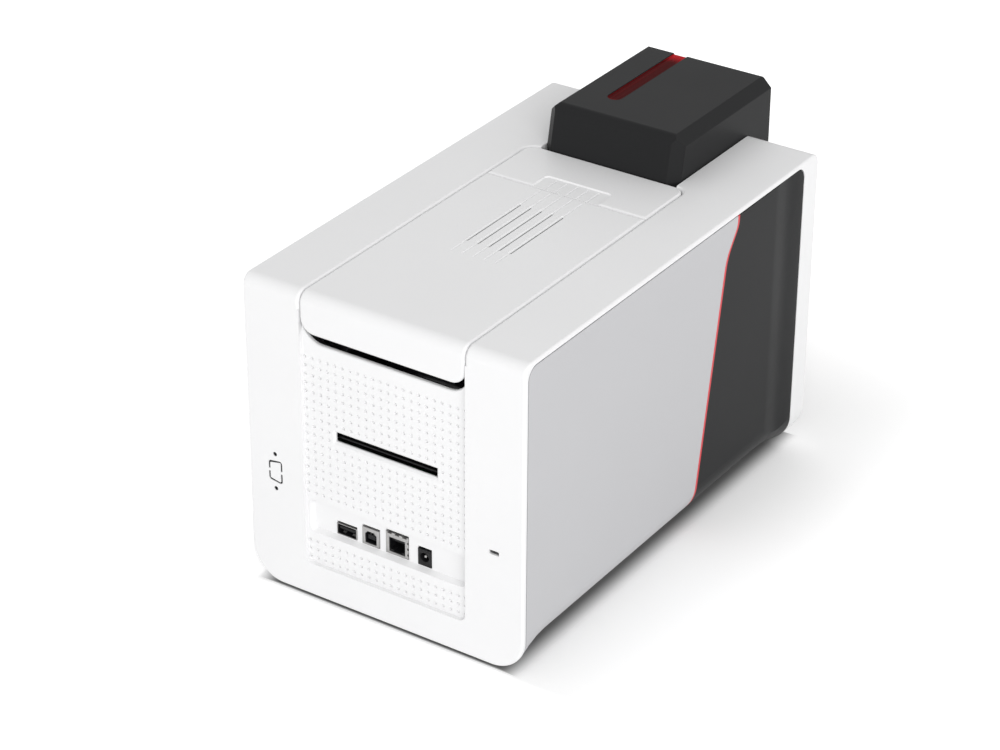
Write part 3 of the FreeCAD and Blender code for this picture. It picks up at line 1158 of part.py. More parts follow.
def card_weight():
    """The plate that presses the cards down on the feed roller, with a grip to lift it by."""
    half = TRAY_HALF - RUN
    front = TRAY_FRONT + RUN
    rear = TRAY_REAR - RUN
    top = WEIGHT_Z + WEIGHT_HEIGHT
    block = box(-half, half, front, rear, WEIGHT_Z, top)
    hollow = box(WEIGHT_WALL - half, half - WEIGHT_WALL, front + WEIGHT_WALL, rear - WEIGHT_WALL,
                 WEIGHT_Z + WEIGHT_WALL, top + OVER)
    middle = (front + rear) / 2
    grip = box(-WEIGHT_GRIP_HALF, WEIGHT_GRIP_HALF, middle - WEIGHT_WALL, middle + WEIGHT_WALL,
               WEIGHT_Z + WEIGHT_WALL, top + WEIGHT_GRIP_HEIGHT)
    return fused([block.cut(hollow), grip])


# Front panel and output bin

def front_panel():
    edge = HALF - WALL - FRONT_LAP
    low = FRONT_OPEN_BOTTOM - FRONT_LAP
    plate = slab(rectangle(-edge, edge, low, PARTING_Z - SEAM, FRONT_PANEL_CORNER, 0), "xz",
                 FRONT_PANEL, FRONT_PANEL_BACK)
    throat = box(-THROAT_HALF, THROAT_HALF, FRONT_Y, CHASSIS_FRONT, THROAT_BOTTOM, PARTING_Z + OVER)
    bin_half = BIN_HALF + SEAM
    bin_hole = box(-bin_half, bin_half, FRONT_Y, CHASSIS_FRONT, BIN_BOTTOM - SEAM, BIN_TOP + SEAM)
    button_hole = rod_y(BUTTON_RADIUS + RUN, FRONT_Y, CHASSIS_FRONT, DISPLAY_X, BUTTON_Z)
    plate = cut(plate, [throat, bin_hole, button_hole])
    posts = [rod_y(POST_RADIUS, FRONT_PANEL, FRONT_BOARD, DISPLAY_X + side * (BOARD_HALF - POST_INSET), z)
             for side in SIDES for z in (BUTTON_Z - BOARD_MARGIN + POST_INSET, DISPLAY_Z)]
    lug_out = HOOD_HALF - HOOD_WALL - RUN
    lug_in = lug_out - HOOD_LUG_WIDTH
    lugs = both_sides(rod_x(HOOD_LUG_RADIUS, lug_in, lug_out, HOOD_AXIS_Y, HOOD_AXIS_Z))
    lugs += both_sides(box(lug_in, lug_out, HOOD_AXIS_Y, FRONT_PANEL_BACK, HOOD_AXIS_Z - HOOD_LUG_WEB,
                           HOOD_AXIS_Z + HOOD_LUG_RADIUS))
    whole = fused([plate] + posts + lugs)
    return whole.cut(rod_x(HOOD_PIN_RADIUS, -HALF, HALF, HOOD_AXIS_Y, HOOD_AXIS_Z))


def output_bin():
    block = box(-BIN_HALF, BIN_HALF, BIN_FRONT, BIN_REAR, BIN_BOTTOM, BIN_TOP)
    half = BIN_HALF + BIN_LAP
    face = slab(rectangle(-half, half, BIN_BOTTOM - BIN_LAP, BIN_TOP, BIN_CORNER), "xz",
                BIN_FRONT, BIN_FRONT + BIN_WALL)
    pocket = box(BIN_WALL - BIN_HALF, BIN_HALF - BIN_WALL, BIN_FRONT + BIN_WALL, BIN_REAR - BIN_WALL,
                 BIN_BOTTOM + BIN_WALL, BIN_TOP + OVER)
    notch = slab(rectangle(-BIN_NOTCH_HALF, BIN_NOTCH_HALF, BIN_NOTCH_BOTTOM, BIN_TOP + OVER,
                           BIN_NOTCH_HALF / 2, 0), "xz", BIN_FRONT - OVER, BIN_FRONT + OVER)
    back_gap = box(BIN_WALL - BIN_HALF, BIN_HALF - BIN_WALL, BIN_REAR - OVER, BIN_REAR + OVER,
                   BIN_REAR_TOP, BIN_TOP + OVER)
    return cut(fused([block, face]), [pocket, notch, back_gap])


def display_glass():
    half = DISPLAY_WIDTH / 2
    return slab(rectangle(DISPLAY_X - half, DISPLAY_X + half, DISPLAY_LOW, DISPLAY_TOP, DISPLAY_CORNER),
                "xz", FRONT_PANEL - DISPLAY_THICKNESS, FRONT_PANEL)


def front_board():
    """The small board behind the display, with the switch of the button."""
    board = box(DISPLAY_X - BOARD_HALF, DISPLAY_X + BOARD_HALF, FRONT_BOARD, FRONT_BOARD + BOARD,
                BUTTON_Z - BOARD_MARGIN, DISPLAY_Z + BOARD_MARGIN)
    switch = box(DISPLAY_X - SWITCH_HALF, DISPLAY_X + SWITCH_HALF, SWITCH_FRONT, FRONT_BOARD,
                 BUTTON_Z - SWITCH_HALF, BUTTON_Z + SWITCH_HALF)
    return fused([board, switch])


def power_button():
    stem = rod_y(BUTTON_RADIUS, BUTTON_FRONT, BUTTON_FRONT + BUTTON_LENGTH, DISPLAY_X, BUTTON_Z)
    stem = softened(stem, BUTTON_SOFT, lambda edge: lies_at(edge, 1, BUTTON_FRONT))
    collar = rod_y(BUTTON_COLLAR_RADIUS, FRONT_PANEL_BACK, FRONT_PANEL_BACK + BUTTON_COLLAR,
                   DISPLAY_X, BUTTON_Z)
    return fused([stem, collar])


# Chassis and drive

def chassis_plate():
    """The +X side plate, before the holes that only one side has."""
    step_y = CHASSIS_REAR - CHASSIS_STEP
    corners = [(CHASSIS_FRONT, BASE_TOP, 0), (CHASSIS_REAR, BASE_TOP, 0),
               (CHASSIS_REAR, CHASSIS_REAR_TOP, CHASSIS_CORNER), (step_y, CHASSIS_REAR_TOP, CHASSIS_CORNER),
               (step_y, CHASSIS_TOP, CHASSIS_CORNER), (CHASSIS_FRONT, CHASSIS_TOP, CHASSIS_CORNER)]
    plate = slab(corners, "yz", CHASSIS_HALF, PLATE_OUT)
    foot = box(CHASSIS_HALF - FOOT_FLANGE, PLATE_OUT, CHASSIS_FRONT, CHASSIS_REAR, BASE_TOP, BASE_TOP + SHEET)
    holes = [rod_x(SHAFT_RADIUS + FIT, 0, HALF, y, ROLLER_Z) for y in ROLLER_YS]
    for y in (SUPPLY_Y, TAKEUP_Y):
        gap = SPOOL_JOURNAL + FIT
        holes.append(rod_x(gap, CHASSIS_HALF - OVER, HALF, y, SPOOL_Z))
        holes.append(box(CHASSIS_HALF - OVER, HALF, y - gap, y + gap, SPOOL_Z, CHASSIS_TOP + OVER))
    holes += [rod_x(SCREW_SHANK + FIT, CHASSIS_HALF - OVER, HALF, y, z) for y, z in TIE_PLACES]
    holes += [rod_z(SCREW_SHANK + FIT, 0, BASE_TOP + OVER, BASE_SCREW_X, y) for y in BASE_SCREW_YS]
    return cut(fused([plate, foot]), holes)


def right_chassis_plate():
    fan_hole = rod_x(FAN_BORE, 0, HALF, PLATEN_Y, FAN_Z)
    shaft_hole = rod_x(RIBBON_SHAFT + RUN, 0, HALF, TAKEUP_Y, PINION_Z)
    return cut(chassis_plate(), [fan_hole, shaft_hole])


def left_chassis_plate():
    plate = both_sides(chassis_plate())[1]
    return plate.cut(rod_x(MOTOR_SHAFT_RADIUS + RUN, -HALF, 0, MOTOR_Y, MOTOR_Z))


def tie_bars():
    bars = []
    for y, z in TIE_PLACES:
        holes = both_sides(rod_x(SCREW_SHANK, PLATE_OUT - SCREW_GRIP, PLATE_OUT, y, z))
        bars.append(cut(rod_x(TIE_RADIUS, -CHASSIS_HALF, CHASSIS_HALF, y, z), holes))
    return Part.makeCompound(bars)


def chassis_screws():
    screws = []
    for y, z in TIE_PLACES:
        shank = rod_x(SCREW_SHANK, PLATE_OUT - SCREW_GRIP, PLATE_OUT, y, z)
        head = rod_x(SCREW_HEAD, PLATE_OUT, PLATE_OUT + SCREW_HEAD_HEIGHT, y, z)
        screws += both_sides(fused([shank, head]))
    return Part.makeCompound(screws)


def base_screws():
    screws = []
    low = FOOT_HEIGHT + ARCH_RISE
    for y in BASE_SCREW_YS:
        shank = rod_z(SCREW_SHANK, low, low + SCREW_GRIP, BASE_SCREW_X, y)
        head = rod_z(SCREW_HEAD, low - SCREW_HEAD_HEIGHT, low, BASE_SCREW_X, y)
        screws += both_sides(fused([shank, head]))
    return Part.makeCompound(screws)


def card_guide():
    low = GUIDE_TOP - GUIDE_THICKNESS
    plate = box(-CHASSIS_HALF, CHASSIS_HALF, TRAY_REAR + TRAY_WALL, PANEL_BACK - GUIDE_INSET, low, GUIDE_TOP)
    windows = [roller_window(y, low - OVER, GUIDE_TOP + OVER) for y in (PLATEN_Y, EXIT_Y)]
    reach = RIBBON_MOTOR_RADIUS + WINDOW_MARGIN
    windows.append(box(CHASSIS_HALF - RIBBON_MOTOR_LENGTH - WINDOW_MARGIN, CHASSIS_HALF + OVER,
                       TAKEUP_Y - reach, TAKEUP_Y + reach, low - OVER, GUIDE_TOP + OVER))
    return cut(plate, windows)


def roller_sleeve(y):
    sleeve = rod_x(ROLLER_RADIUS, -ROLLER_HALF, ROLLER_HALF, y, ROLLER_Z)
    return sleeve.cut(rod_x(SHAFT_RADIUS, -HALF, HALF, y, ROLLER_Z))


def pulley(radius, y, z):
    """A belt pulley between two rims, outside the -X plate."""
    rim = radius + PULLEY_RIM
    inner = -PULLEY_X
    outer = inner - PULLEY_WIDTH
    return [rod_x(radius, outer, inner, y, z), rod_x(rim, inner, inner + PULLEY_FLANGE, y, z),
            rod_x(rim, outer - PULLEY_FLANGE, outer, y, z)]


def roller_shaft(y):
    shaft = rod_x(SHAFT_RADIUS, -PULLEY_X - PULLEY_WIDTH - SHAFT_END, PLATE_OUT + SHAFT_END, y, ROLLER_Z)
    return fused([shaft] + pulley(PULLEY_RADIUS, y, ROLLER_Z))


def drive_motor():
    half = MOTOR_SIZE / 2
    body = slab(rectangle(MOTOR_Y - half, MOTOR_Y + half, MOTOR_Z - half, MOTOR_Z + half, MOTOR_CORNER),
                "yz", -CHASSIS_HALF, MOTOR_LENGTH - CHASSIS_HALF)
    return body.cut(rod_x(MOTOR_SHAFT_RADIUS + FIT, -CHASSIS_HALF, MOTOR_BORE_DEPTH - CHASSIS_HALF,
                          MOTOR_Y, MOTOR_Z))


def motor_pulley():
    shaft = rod_x(MOTOR_SHAFT_RADIUS, -PULLEY_X - PULLEY_WIDTH, MOTOR_BORE_DEPTH - CHASSIS_HALF - RUN,
                  MOTOR_Y, MOTOR_Z)
    return fused([shaft] + pulley(MOTOR_PULLEY_RADIUS, MOTOR_Y, MOTOR_Z))


def belt_loop(extra):
    """The face inside a belt that runs round the feed, exit and motor pulleys, widened by extra."""
    wheels = [(FEED_Y, ROLLER_Z, PULLEY_RADIUS + extra), (EXIT_Y, ROLLER_Z, PULLEY_RADIUS + extra),
              (MOTOR_Y, MOTOR_Z, MOTOR_PULLEY_RADIUS + extra)]
    ends = []
    for (y0, z0, r0), (y1, z1, r1) in zip(wheels, wheels[1:] + wheels[:1]):
        along = vec(0, y1 - y0, z1 - z0)
        tilt = math.acos((r0 - r1) / along.Length)
        angle = math.atan2(z1 - z0, y1 - y0) + tilt
        normal = vec(0, math.cos(angle), math.sin(angle))
        ends.append((vec(0, y0, z0) + normal * r0, vec(0, y1, z1) + normal * r1))
    edges = []
    for index, (leave, arrive) in enumerate(ends):
        y, z, radius = wheels[(index + 1) % len(wheels)]
        following = ends[(index + 1) % len(ends)][0]
        centre = vec(0, y, z)
        middle = centre + ((arrive - centre) + (following - centre)).normalize() * radius
        edges.append(Part.makeLine(leave, arrive))
        edges.append(Part.Arc(arrive, middle, following).toShape())
    return Part.Face(Part.Wire(edges))


def drive_belt():
    side_gap = (PULLEY_WIDTH - BELT_WIDTH) / 2
    width = vec(BELT_WIDTH, 0, 0)
    outer = belt_loop(RUN + BELT_THICKNESS).extrude(width)
    belt = outer.cut(belt_loop(RUN).extrude(width))
    belt.translate(vec(-PULLEY_X - side_gap - BELT_WIDTH, 0, 0))
    return belt


# Ribbon drive

def gear(teeth, turn, y, z):
    """A spur gear outside the +X plate, turned by a share of a tooth."""
    pitch_radius = GEAR_MODULE * teeth / 2
    base = pitch_radius * math.cos(math.radians(PRESSURE_ANGLE))
    tip = pitch_radius + GEAR_MODULE * GEAR_ADDENDUM_SHARE
    root = pitch_radius - GEAR_MODULE * GEAR_DEDENDUM_SHARE
    step = 2 * math.pi / teeth

    def roll(radius):
        """Angle swept by the involute between the base circle and a radius."""
        turn_angle = math.acos(min(1.0, base / radius))
        return math.tan(turn_angle) - turn_angle

    flank = []
    for index in range(FLANK_POINTS):
        radius = max(base, root) + (tip - max(base, root)) * index / (FLANK_POINTS - 1)
        flank.append((radius, step * TOOTH_WIDTH_SHARE / 2 + roll(pitch_radius) - roll(radius)))
    flank.insert(0, (root, flank[0][1]))
    points = []
    for tooth in range(teeth):
        middle = step * (tooth + turn)
        points += [(radius, middle - half) for radius, half in flank]
        points += [(radius, middle + half) for radius, half in reversed(flank)]
    corners = [(y + radius * math.cos(angle), z + radius * math.sin(angle), 0) for radius, angle in points]
    return slab(corners, "yz", GEAR_X, GEAR_X + GEAR_WIDTH)


def spool(y):
    core = [rod_x(SPOOL_CORE, -SPOOL_HALF, SPOOL_HALF, y, SPOOL_Z),
            rod_x(SPOOL_JOURNAL, -GEAR_X - SHAFT_END, GEAR_X + SHAFT_END, y, SPOOL_Z)]
    core += both_sides(rod_x(SPOOL_FLANGE, RIBBON_HALF, RIBBON_HALF + SPOOL_FLANGE_WIDTH, y, SPOOL_Z))
    return core


def supply_spool():
    return fused(spool(SUPPLY_Y))


def supply_film():
    roll = rod_x(SUPPLY_ROLL, -RIBBON_HALF, RIBBON_HALF, SUPPLY_Y, SPOOL_Z)
    return roll.cut(rod_x(SPOOL_CORE, -HALF, HALF, SUPPLY_Y, SPOOL_Z))


def takeup_spool():
    """The empty spool with the gear that winds it. A tooth points down at the pinion."""
    quarter = GEAR_TEETH / 4
    return fused(spool(TAKEUP_Y) + [gear(GEAR_TEETH, -quarter, TAKEUP_Y, SPOOL_Z)])


def ribbon_pinion():
    """The pinion on its motor shaft. A gap points up at the gear."""
    quarter = PINION_TEETH / 4 + 1 / 2
    shaft = rod_x(RIBBON_SHAFT, CHASSIS_HALF - RIBBON_BORE_DEPTH + RUN, GEAR_X + GEAR_WIDTH,
                  TAKEUP_Y, PINION_Z)
    return fused([shaft, gear(PINION_TEETH, quarter, TAKEUP_Y, PINION_Z)])


def ribbon_motor():
    can = rod_x(RIBBON_MOTOR_RADIUS, CHASSIS_HALF - RIBBON_MOTOR_LENGTH, CHASSIS_HALF, TAKEUP_Y, PINION_Z)
    bore_end = CHASSIS_HALF - RIBBON_BORE_DEPTH
    return can.cut(rod_x(RIBBON_SHAFT + FIT, bore_end, CHASSIS_HALF, TAKEUP_Y, PINION_Z))


# Fan and feet

def fan_frame():
    half = FAN_SIZE / 2
    out = PLATE_OUT + FAN_DEPTH
    frame = slab(rectangle(PLATEN_Y - half, PLATEN_Y + half, FAN_Z - half, FAN_Z + half, FAN_CORNER),
                 "yz", PLATE_OUT, out)
    frame = frame.cut(rod_x(FAN_BORE, 0, HALF, PLATEN_Y, FAN_Z))
    spoke = FAN_SPOKE / 2
    cross = [rod_x(FAN_HUB, out - FAN_PLATE, out, PLATEN_Y, FAN_Z),
             box(out - FAN_PLATE, out, PLATEN_Y - FAN_BORE - spoke, PLATEN_Y + FAN_BORE + spoke,
                 FAN_Z - spoke, FAN_Z + spoke),
             box(out - FAN_PLATE, out, PLATEN_Y - spoke, PLATEN_Y + spoke, FAN_Z - FAN_BORE - spoke,
                 FAN_Z + FAN_BORE + spoke)]
    return fused([frame] + cross).cut(rod_x(FAN_AXLE + FIT, 0, HALF, PLATEN_Y, FAN_Z))


def fan_rotor():
    start = PLATE_OUT + RUN
    end = PLATE_OUT + FAN_DEPTH - FAN_PLATE - RUN
    hub = [rod_x(FAN_HUB, start, end, PLATEN_Y, FAN_Z),
           rod_x(FAN_AXLE, start, PLATE_OUT + FAN_DEPTH, PLATEN_Y, FAN_Z)]
    tip = FAN_BORE - 2 * RUN
    for index in range(FAN_BLADES):
        blade = box(start, end, PLATEN_Y, PLATEN_Y + tip, FAN_Z - FAN_BLADE / 2, FAN_Z + FAN_BLADE / 2)
        blade.rotate(vec(start, PLATEN_Y, FAN_Z), vec(1, 0, 0), 360 * index / FAN_BLADES)
        hub.append(blade)
    return fused(hub)


def feet():
    return Part.makeCompound([rod_z(FOOT_RADIUS, 0, FOOT_HEIGHT, x, y) for x, y in FOOT_PLACES])


def all_pieces():
    light, dark, stripe = [both_sides(piece) for piece in side_pieces()]
    return {
        "top_frame": top_frame(), "rear_bezel": rear_bezel(), "front_bezel": front_bezel(),
        "base_tray": base_tray(),
        "right_side_panel": light[0], "left_side_panel": light[1],
        "right_front_panel": dark[0], "left_front_panel": dark[1],
        "right_stripe": stripe[0], "left_stripe": stripe[1],
        "rear_panel": rear_panel(), "connector_bay": connector_bay(), "lock_anchor": lock_anchor(),
        "lid": lid(), "lid_liner": lid_liner(), "lid_hinge_rod": lid_hinge_rod(),
        "release_flap": release_flap(), "flap_hinge_pins": flap_hinge_pins(), "flap_spring": flap_spring(),
        "feeder_hood": feeder_hood(), "gauge_window": gauge_window(), "hood_hinge_pins": hood_hinge_pins(),
        "feeder_tray": feeder_tray(), "card_weight": card_weight(),
        "front_panel": front_panel(), "display_glass": display_glass(), "front_board": front_board(),
        "power_button": power_button(), "output_bin": output_bin(),
        "right_chassis_plate": right_chassis_plate(), "left_chassis_plate": left_chassis_plate(),
        "tie_bars": tie_bars(), "chassis_screws": chassis_screws(), "base_screws": base_screws(),
        "card_guide": card_guide(),
        "feed_roller": roller_sleeve(FEED_Y), "feed_shaft": roller_shaft(FEED_Y),
        "platen_roller": roller_sleeve(PLATEN_Y), "platen_shaft": roller_shaft(PLATEN_Y),
        "exit_roller": roller_sleeve(EXIT_Y), "exit_shaft": roller_shaft(EXIT_Y),
        "drive_motor": drive_motor(), "motor_pulley": motor_pulley(), "drive_belt": drive_belt(),
        "supply_spool": supply_spool(), "supply_film": supply_film(), "takeup_spool": takeup_spool(),
        "ribbon_motor": ribbon_motor(), "ribbon_pinion": ribbon_pinion(),
        "print_head": print_head(), "heat_sink": heat_sink(),
        "fan_frame": fan_frame(), "fan_rotor": fan_rotor(),
        "main_board": main_board(), "usb_host_shell": usb_host_shell(),
        "usb_device_shell": usb_device_shell(), "network_shell": network_shell(),
        "power_socket": power_socket(), "socket_cores": socket_cores(), "feet": feet(),
    }


os.makedirs("parts", exist_ok=True)
for name, piece in all_pieces().items():
    piece.exportStep(os.path.join("parts", name + ".step"))
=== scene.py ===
import json
import math

import bmesh
import bpy
from mathutils import Matrix, Vector


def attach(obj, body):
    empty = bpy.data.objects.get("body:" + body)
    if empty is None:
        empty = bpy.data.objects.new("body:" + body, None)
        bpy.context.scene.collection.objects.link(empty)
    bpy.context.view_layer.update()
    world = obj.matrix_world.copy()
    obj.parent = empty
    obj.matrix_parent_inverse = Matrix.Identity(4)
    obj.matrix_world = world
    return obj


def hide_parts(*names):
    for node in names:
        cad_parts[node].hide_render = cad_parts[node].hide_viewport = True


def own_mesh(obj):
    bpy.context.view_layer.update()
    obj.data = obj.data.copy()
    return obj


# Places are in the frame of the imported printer: the front faces -Y, and the camera looks at the
# rear. Pieces are drawn in millimetres and set in metres.
MM = 0.001

# Camera, worked out from the box edges in the photograph
CAMERA_PLACE = Vector((-0.9198, 1.4383, 1.0602))
CAMERA_AZIMUTH = math.radians(213.779)
CAMERA_ELEVATION = math.radians(29.615)
CAMERA_ROLL = math.radians(0.284)
LENS = 108.245
SENSOR = 36.0

# Studio light: the sky overhead and at the horizon, and one large lamp behind the printer
ZENITH_STRENGTH = 0.61
HORIZON_STRENGTH = 1.10
KEY_PLACE = Vector((-2.29, 2.29, 1.41))
KEY_SIZE = 2.2
KEY_POWER = 57.5
LIGHT_TARGET = Vector((0.0, 0.0, 0.1))

# Floor in metres: its colour in the open, a dark painted shadow under the printer, and painted light
# that keeps it white where it is seen: near the printer, further out, and behind it and on its +X
# side
FLOOR_SIZE = 30.0
FLOOR_COLOUR = (0.9, 0.9, 0.9)
PAINTED_SHADOW_FLOOR = (0.2, 0.2, 0.2)
NEAR_PAINTED_LIGHT = 0.20
FAR_PAINTED_LIGHT = 0.36
SHADOW_FILL_PAINTED_LIGHT = 0.22
EDGE_BAND = 0.005

# The printer's footprint, and where the floor's painted shadow and painted light change, in shares
# of its half width and half depth
FOOTPRINT_MIDDLE = 0.0164
FOOTPRINT_HALVES = (0.1025, 0.1742)
SIDE_SHADE = (0.82, 0.99)
END_SHADE = (0.985, 1.0)
GLOW_REACH = (1.0, 2.6)
CORNER_POWER = 8

# Colours of the finishes
WHITE = (0.845, 0.845, 0.85)
LIGHT_GREY = (0.50, 0.50, 0.514)
CHARCOAL = (0.019, 0.0193, 0.02)
BLACK = (0.008, 0.008, 0.009)
STRIPE_RED = (0.66, 0.036, 0.048)
WINDOW_RED = (0.062, 0.002, 0.0025)
# The window's lit red is painted light along its edges and at its ends
WINDOW_PAINTED_LIGHT_RED = (0.55, 0.012, 0.018)
STEEL = (0.60, 0.60, 0.60)
ZINC = (0.56, 0.57, 0.58)
SHELL_METAL = (0.40, 0.395, 0.39)
ALUMINIUM = (0.75, 0.76, 0.77)
ROLLER_BLACK = (0.02, 0.02, 0.021)
FOOT_BLACK = (0.024, 0.024, 0.025)
FILM_BLACK = (0.022, 0.02, 0.028)
BOARD_GREEN = (0.012, 0.11, 0.045)

# Patterns of the finishes: the sizes of their grains, and how deep their relief is
PLASTIC_GRAIN, PLASTIC_CLOUD, PLASTIC_RELIEF = 0.45, 60, 0.012
METAL_STREAK, METAL_CLOUD, METAL_RELIEF = 0.5, 12, 0.006
RUBBER_PIT, RUBBER_DUST, RUBBER_RELIEF = 0.35, 7, 0.05
WINDOW_RIB, WINDOW_SMOKE, WINDOW_RELIEF = 1.1, 5, 0.05
FILM_TURN, FILM_BAND, FILM_RELIEF = 2.5, 1.2, 0.02
BOARD_WEAVE, BOARD_RELIEF = 0.6, 0.01

# Gauge window in the hood: its place, and how far its painted light reaches in from its ends
WINDOW_MIDDLE, WINDOW_HALF = 18.9, 5.4
WINDOW_REAR, WINDOW_FRONT = -94.2, -182.0
TAIL_PAINTED_LIGHT, NOSE_PAINTED_LIGHT = 4, 16

# Shaping: the angle up to which faces shade as one, how close two places count as the same, how
# closely a face looks along an axis, and how far a cutter reaches past the piece it opens
SMOOTH_ANGLE = math.radians(35)
SAME_PLACE = 0.01
FACING = 0.9
PAST = 1.0

# Rear panel: its skin and its field of dimples
PANEL_SKIN = 187.35
DOT_COLUMNS = 22
DOT_PITCH = 5.61
DOT_FIRST_COLUMN = -58.9
DOT_ROWS = 25
DOT_RISE = 5.97
DOT_FIRST_ROW = 29.18
DOT_MOUTH = 1.1
DOT_FLOOR = 0.9
DOT_DEPTH = 1.4
DOT_OVER = 0.25
DOT_CORNERS = 12
BARE_AREAS = (((-61, 43.8), (61, 75.6)), ((-41.2, 114.6), (41.2, 129.5)))

# All sockets: the depths of their faces, backs and hollows, the board they stand on, their metal's
# thickness, the rounding of their mouths, the insulators behind their openings, and the black liners
# inside their openings, which are painted shade on the openings' inner walls
SOCKET_FACE = 183.8
SOCKET_BACK = 169.8
SOCKET_HOLLOW = 11.0
BOARD_TOP = 50.2
SHEET = 0.45
RIM = 0.15
CORE_BACK = SOCKET_FACE - SOCKET_HOLLOW - 0.5
CORE_FRONT = CORE_BACK + 3
CORE_ROUNDING = 0.12
CONTACT_ROUNDING = 0.08
SHADE_LINER_DROP = 0.45
SHADE_LINER_HOLLOW = SOCKET_HOLLOW - 1

# USB host socket: spring fingers on its floor, and a tongue with four contacts. A depth is measured
# from the socket's face, and a height from the board.
HOST_X, HOST_WIDTH, HOST_HEIGHT = 33.0, 15.0, 8.0
HOST_CORE_HALF, HOST_CORE_TOP, HOST_SHADE_LINER = 7, 7.5, 0.3
FINGER_X, FINGER_HALF, FINGER_RISE = 3.6, 1.1, 0.25
FINGER_START, FINGER_END = 1.2, 5.5
CREST_DEPTH, CREST_HALF, CREST_LIFT = 3.3, 0.6, 0.75
HOST_TONGUE_HALF, HOST_TONGUE_DEPTH, HOST_TONGUE_HEIGHTS = 5.8, 1.0, (4.0, 5.9)
HOST_CONTACTS = (-3.5, -1, 1, 3.5)
HOST_CONTACT_HALF, HOST_CONTACT_DEPTH, HOST_CONTACT_HEIGHTS = 0.5, 1.4, (3.8, 4.1)

# USB device socket: a square opening with two cut corners, a tongue and four contacts
DEVICE_X, DEVICE_WIDTH, DEVICE_HEIGHT = 14.6, 13.0, 12.4
DEVICE_HOLE, DEVICE_RISE, DEVICE_CUT, DEVICE_SHADE_LINER = 8.6, 1.4, 2, 0.45
DEVICE_TONGUE, DEVICE_TONGUE_DEPTH = (2.8, 1.6), 1.2
DEVICE_CONTACT, DEVICE_CONTACT_HALVES, DEVICE_CONTACT_DEPTH = (1.25, 1.65), (0.5, 0.1), 1.8

# Network socket: notches in its top and its side, and inside it a comb, two steps and eight contacts
NETWORK_X, NETWORK_WIDTH, NETWORK_HEIGHT = -5.3, 16.8, 15.4
NETWORK_HOLE, NETWORK_RISE, NETWORK_TALL, NETWORK_SHADE_LINER = 12.0, 1.6, 10.4, 0.4
NOTCH_DEPTH, NOTCH_ROUNDING = 3.5, 0.105
TOP_NOTCHES, TOP_NOTCH_HALF, TOP_NOTCH_DROP = (-5.6, 0.0, 5.6), 1.6, 1.1
SIDE_NOTCHES, SIDE_NOTCH_HALF, SIDE_NOTCH_REACH = (3.2, 7.4, 11.6), 0.75, 0.9
COMB_RISE, COMB_DEPTH = 6.9, 2.6
STEP_START, STEP_HEIGHT, STEP_DEPTH = 3.1, 1.5, 0.5
NETWORK_CONTACTS, CONTACT_PITCH, CONTACT_HALF = 8, 1.02, 0.2
CONTACT_DEPTHS, CONTACT_HEIGHTS = (8, 3.2), (6.7, 7.0)

# Power inlet: a round bore with a centre pin
POWER_X, POWER_WIDTH, POWER_HEIGHT, POWER_AXIS = -25.9, 9.9, 11.8, 56.6
BORE_RADIUS, BORE_DEPTH, BORE_CORNERS, INLET_ROUNDING = 3.2, 9, 48, 0.25
PIN_RADIUS, PIN_DEPTH, PIN_LENGTH, PIN_CORNERS = 1.0, 10, 8.6, 24
PIN_TIP_INSET, PIN_TIP_RISE, PIN_ROUNDING = 0.2, 0.35, 0.15

# Knock-out in the rear frame: its middle, its shape, and the black ring of painted shade at the
# bottom of its groove
REAR_SKIN = 190.5
BLANK_X, BLANK_Z = 82.19, 84.4
BLANK_WIDTH, BLANK_HEIGHT, BLANK_SLANT, BLANK_CORNER = 10.6, 16.8, 1.6, 2.0
BLANK_GROOVE = 1.3
BLANK_BREAK = 1.8
MARK_REACH, MARK_RADIUS, MARK_RIM, MARK_HOLLOW = 12.4, 1.45, 0.5, 0.3
SHADE_RING_DROP = 0.45
SHADE_RING_THICKNESS = 1.2
SHADE_RING_GAP = 0.03


class Value:
    """A number that runs through a material's nodes, for use in Python expressions."""

    def __init__(self, finish, socket):
        self.finish = finish
        self.socket = socket

    def maths(self, operation, first, second):
        return self.finish.node("ShaderNodeMath", {"operation": operation}, {0: first, 1: second})

    def __add__(self, other):
        return self.maths("ADD", self, other)

    def __radd__(self, other):
        return self.maths("ADD", other, self)

    def __sub__(self, other):
        return self.maths("SUBTRACT", self, other)

    def __rsub__(self, other):
        return self.maths("SUBTRACT", other, self)

    def __mul__(self, other):
        return self.maths("MULTIPLY", self, other)

    def __rmul__(self, other):
        return self.maths("MULTIPLY", other, self)

    def __truediv__(self, other):
        return self.maths("DIVIDE", self, other)

    def __pow__(self, other):
        return self.maths("POWER", self, other)

    def __abs__(self):
        return self.maths("ABSOLUTE", self, 0.0)

    def at_least(self, other):
        return self.maths("MAXIMUM", self, other)

    def swing(self, amount):
        """Turns a pattern from 0 to 1 into one that swings about zero, by an amount in all."""
        return (self - 0.5) * amount

    def ramp(self, low, high):
        """0 up to low, 1 from high on, and smooth between them. Low may be the larger one."""
        return self.finish.node("ShaderNodeMapRange",
                                {"interpolation_type": "SMOOTHSTEP", "clamp": True},
                                {"Value": self, "From Min": low, "From Max": high})


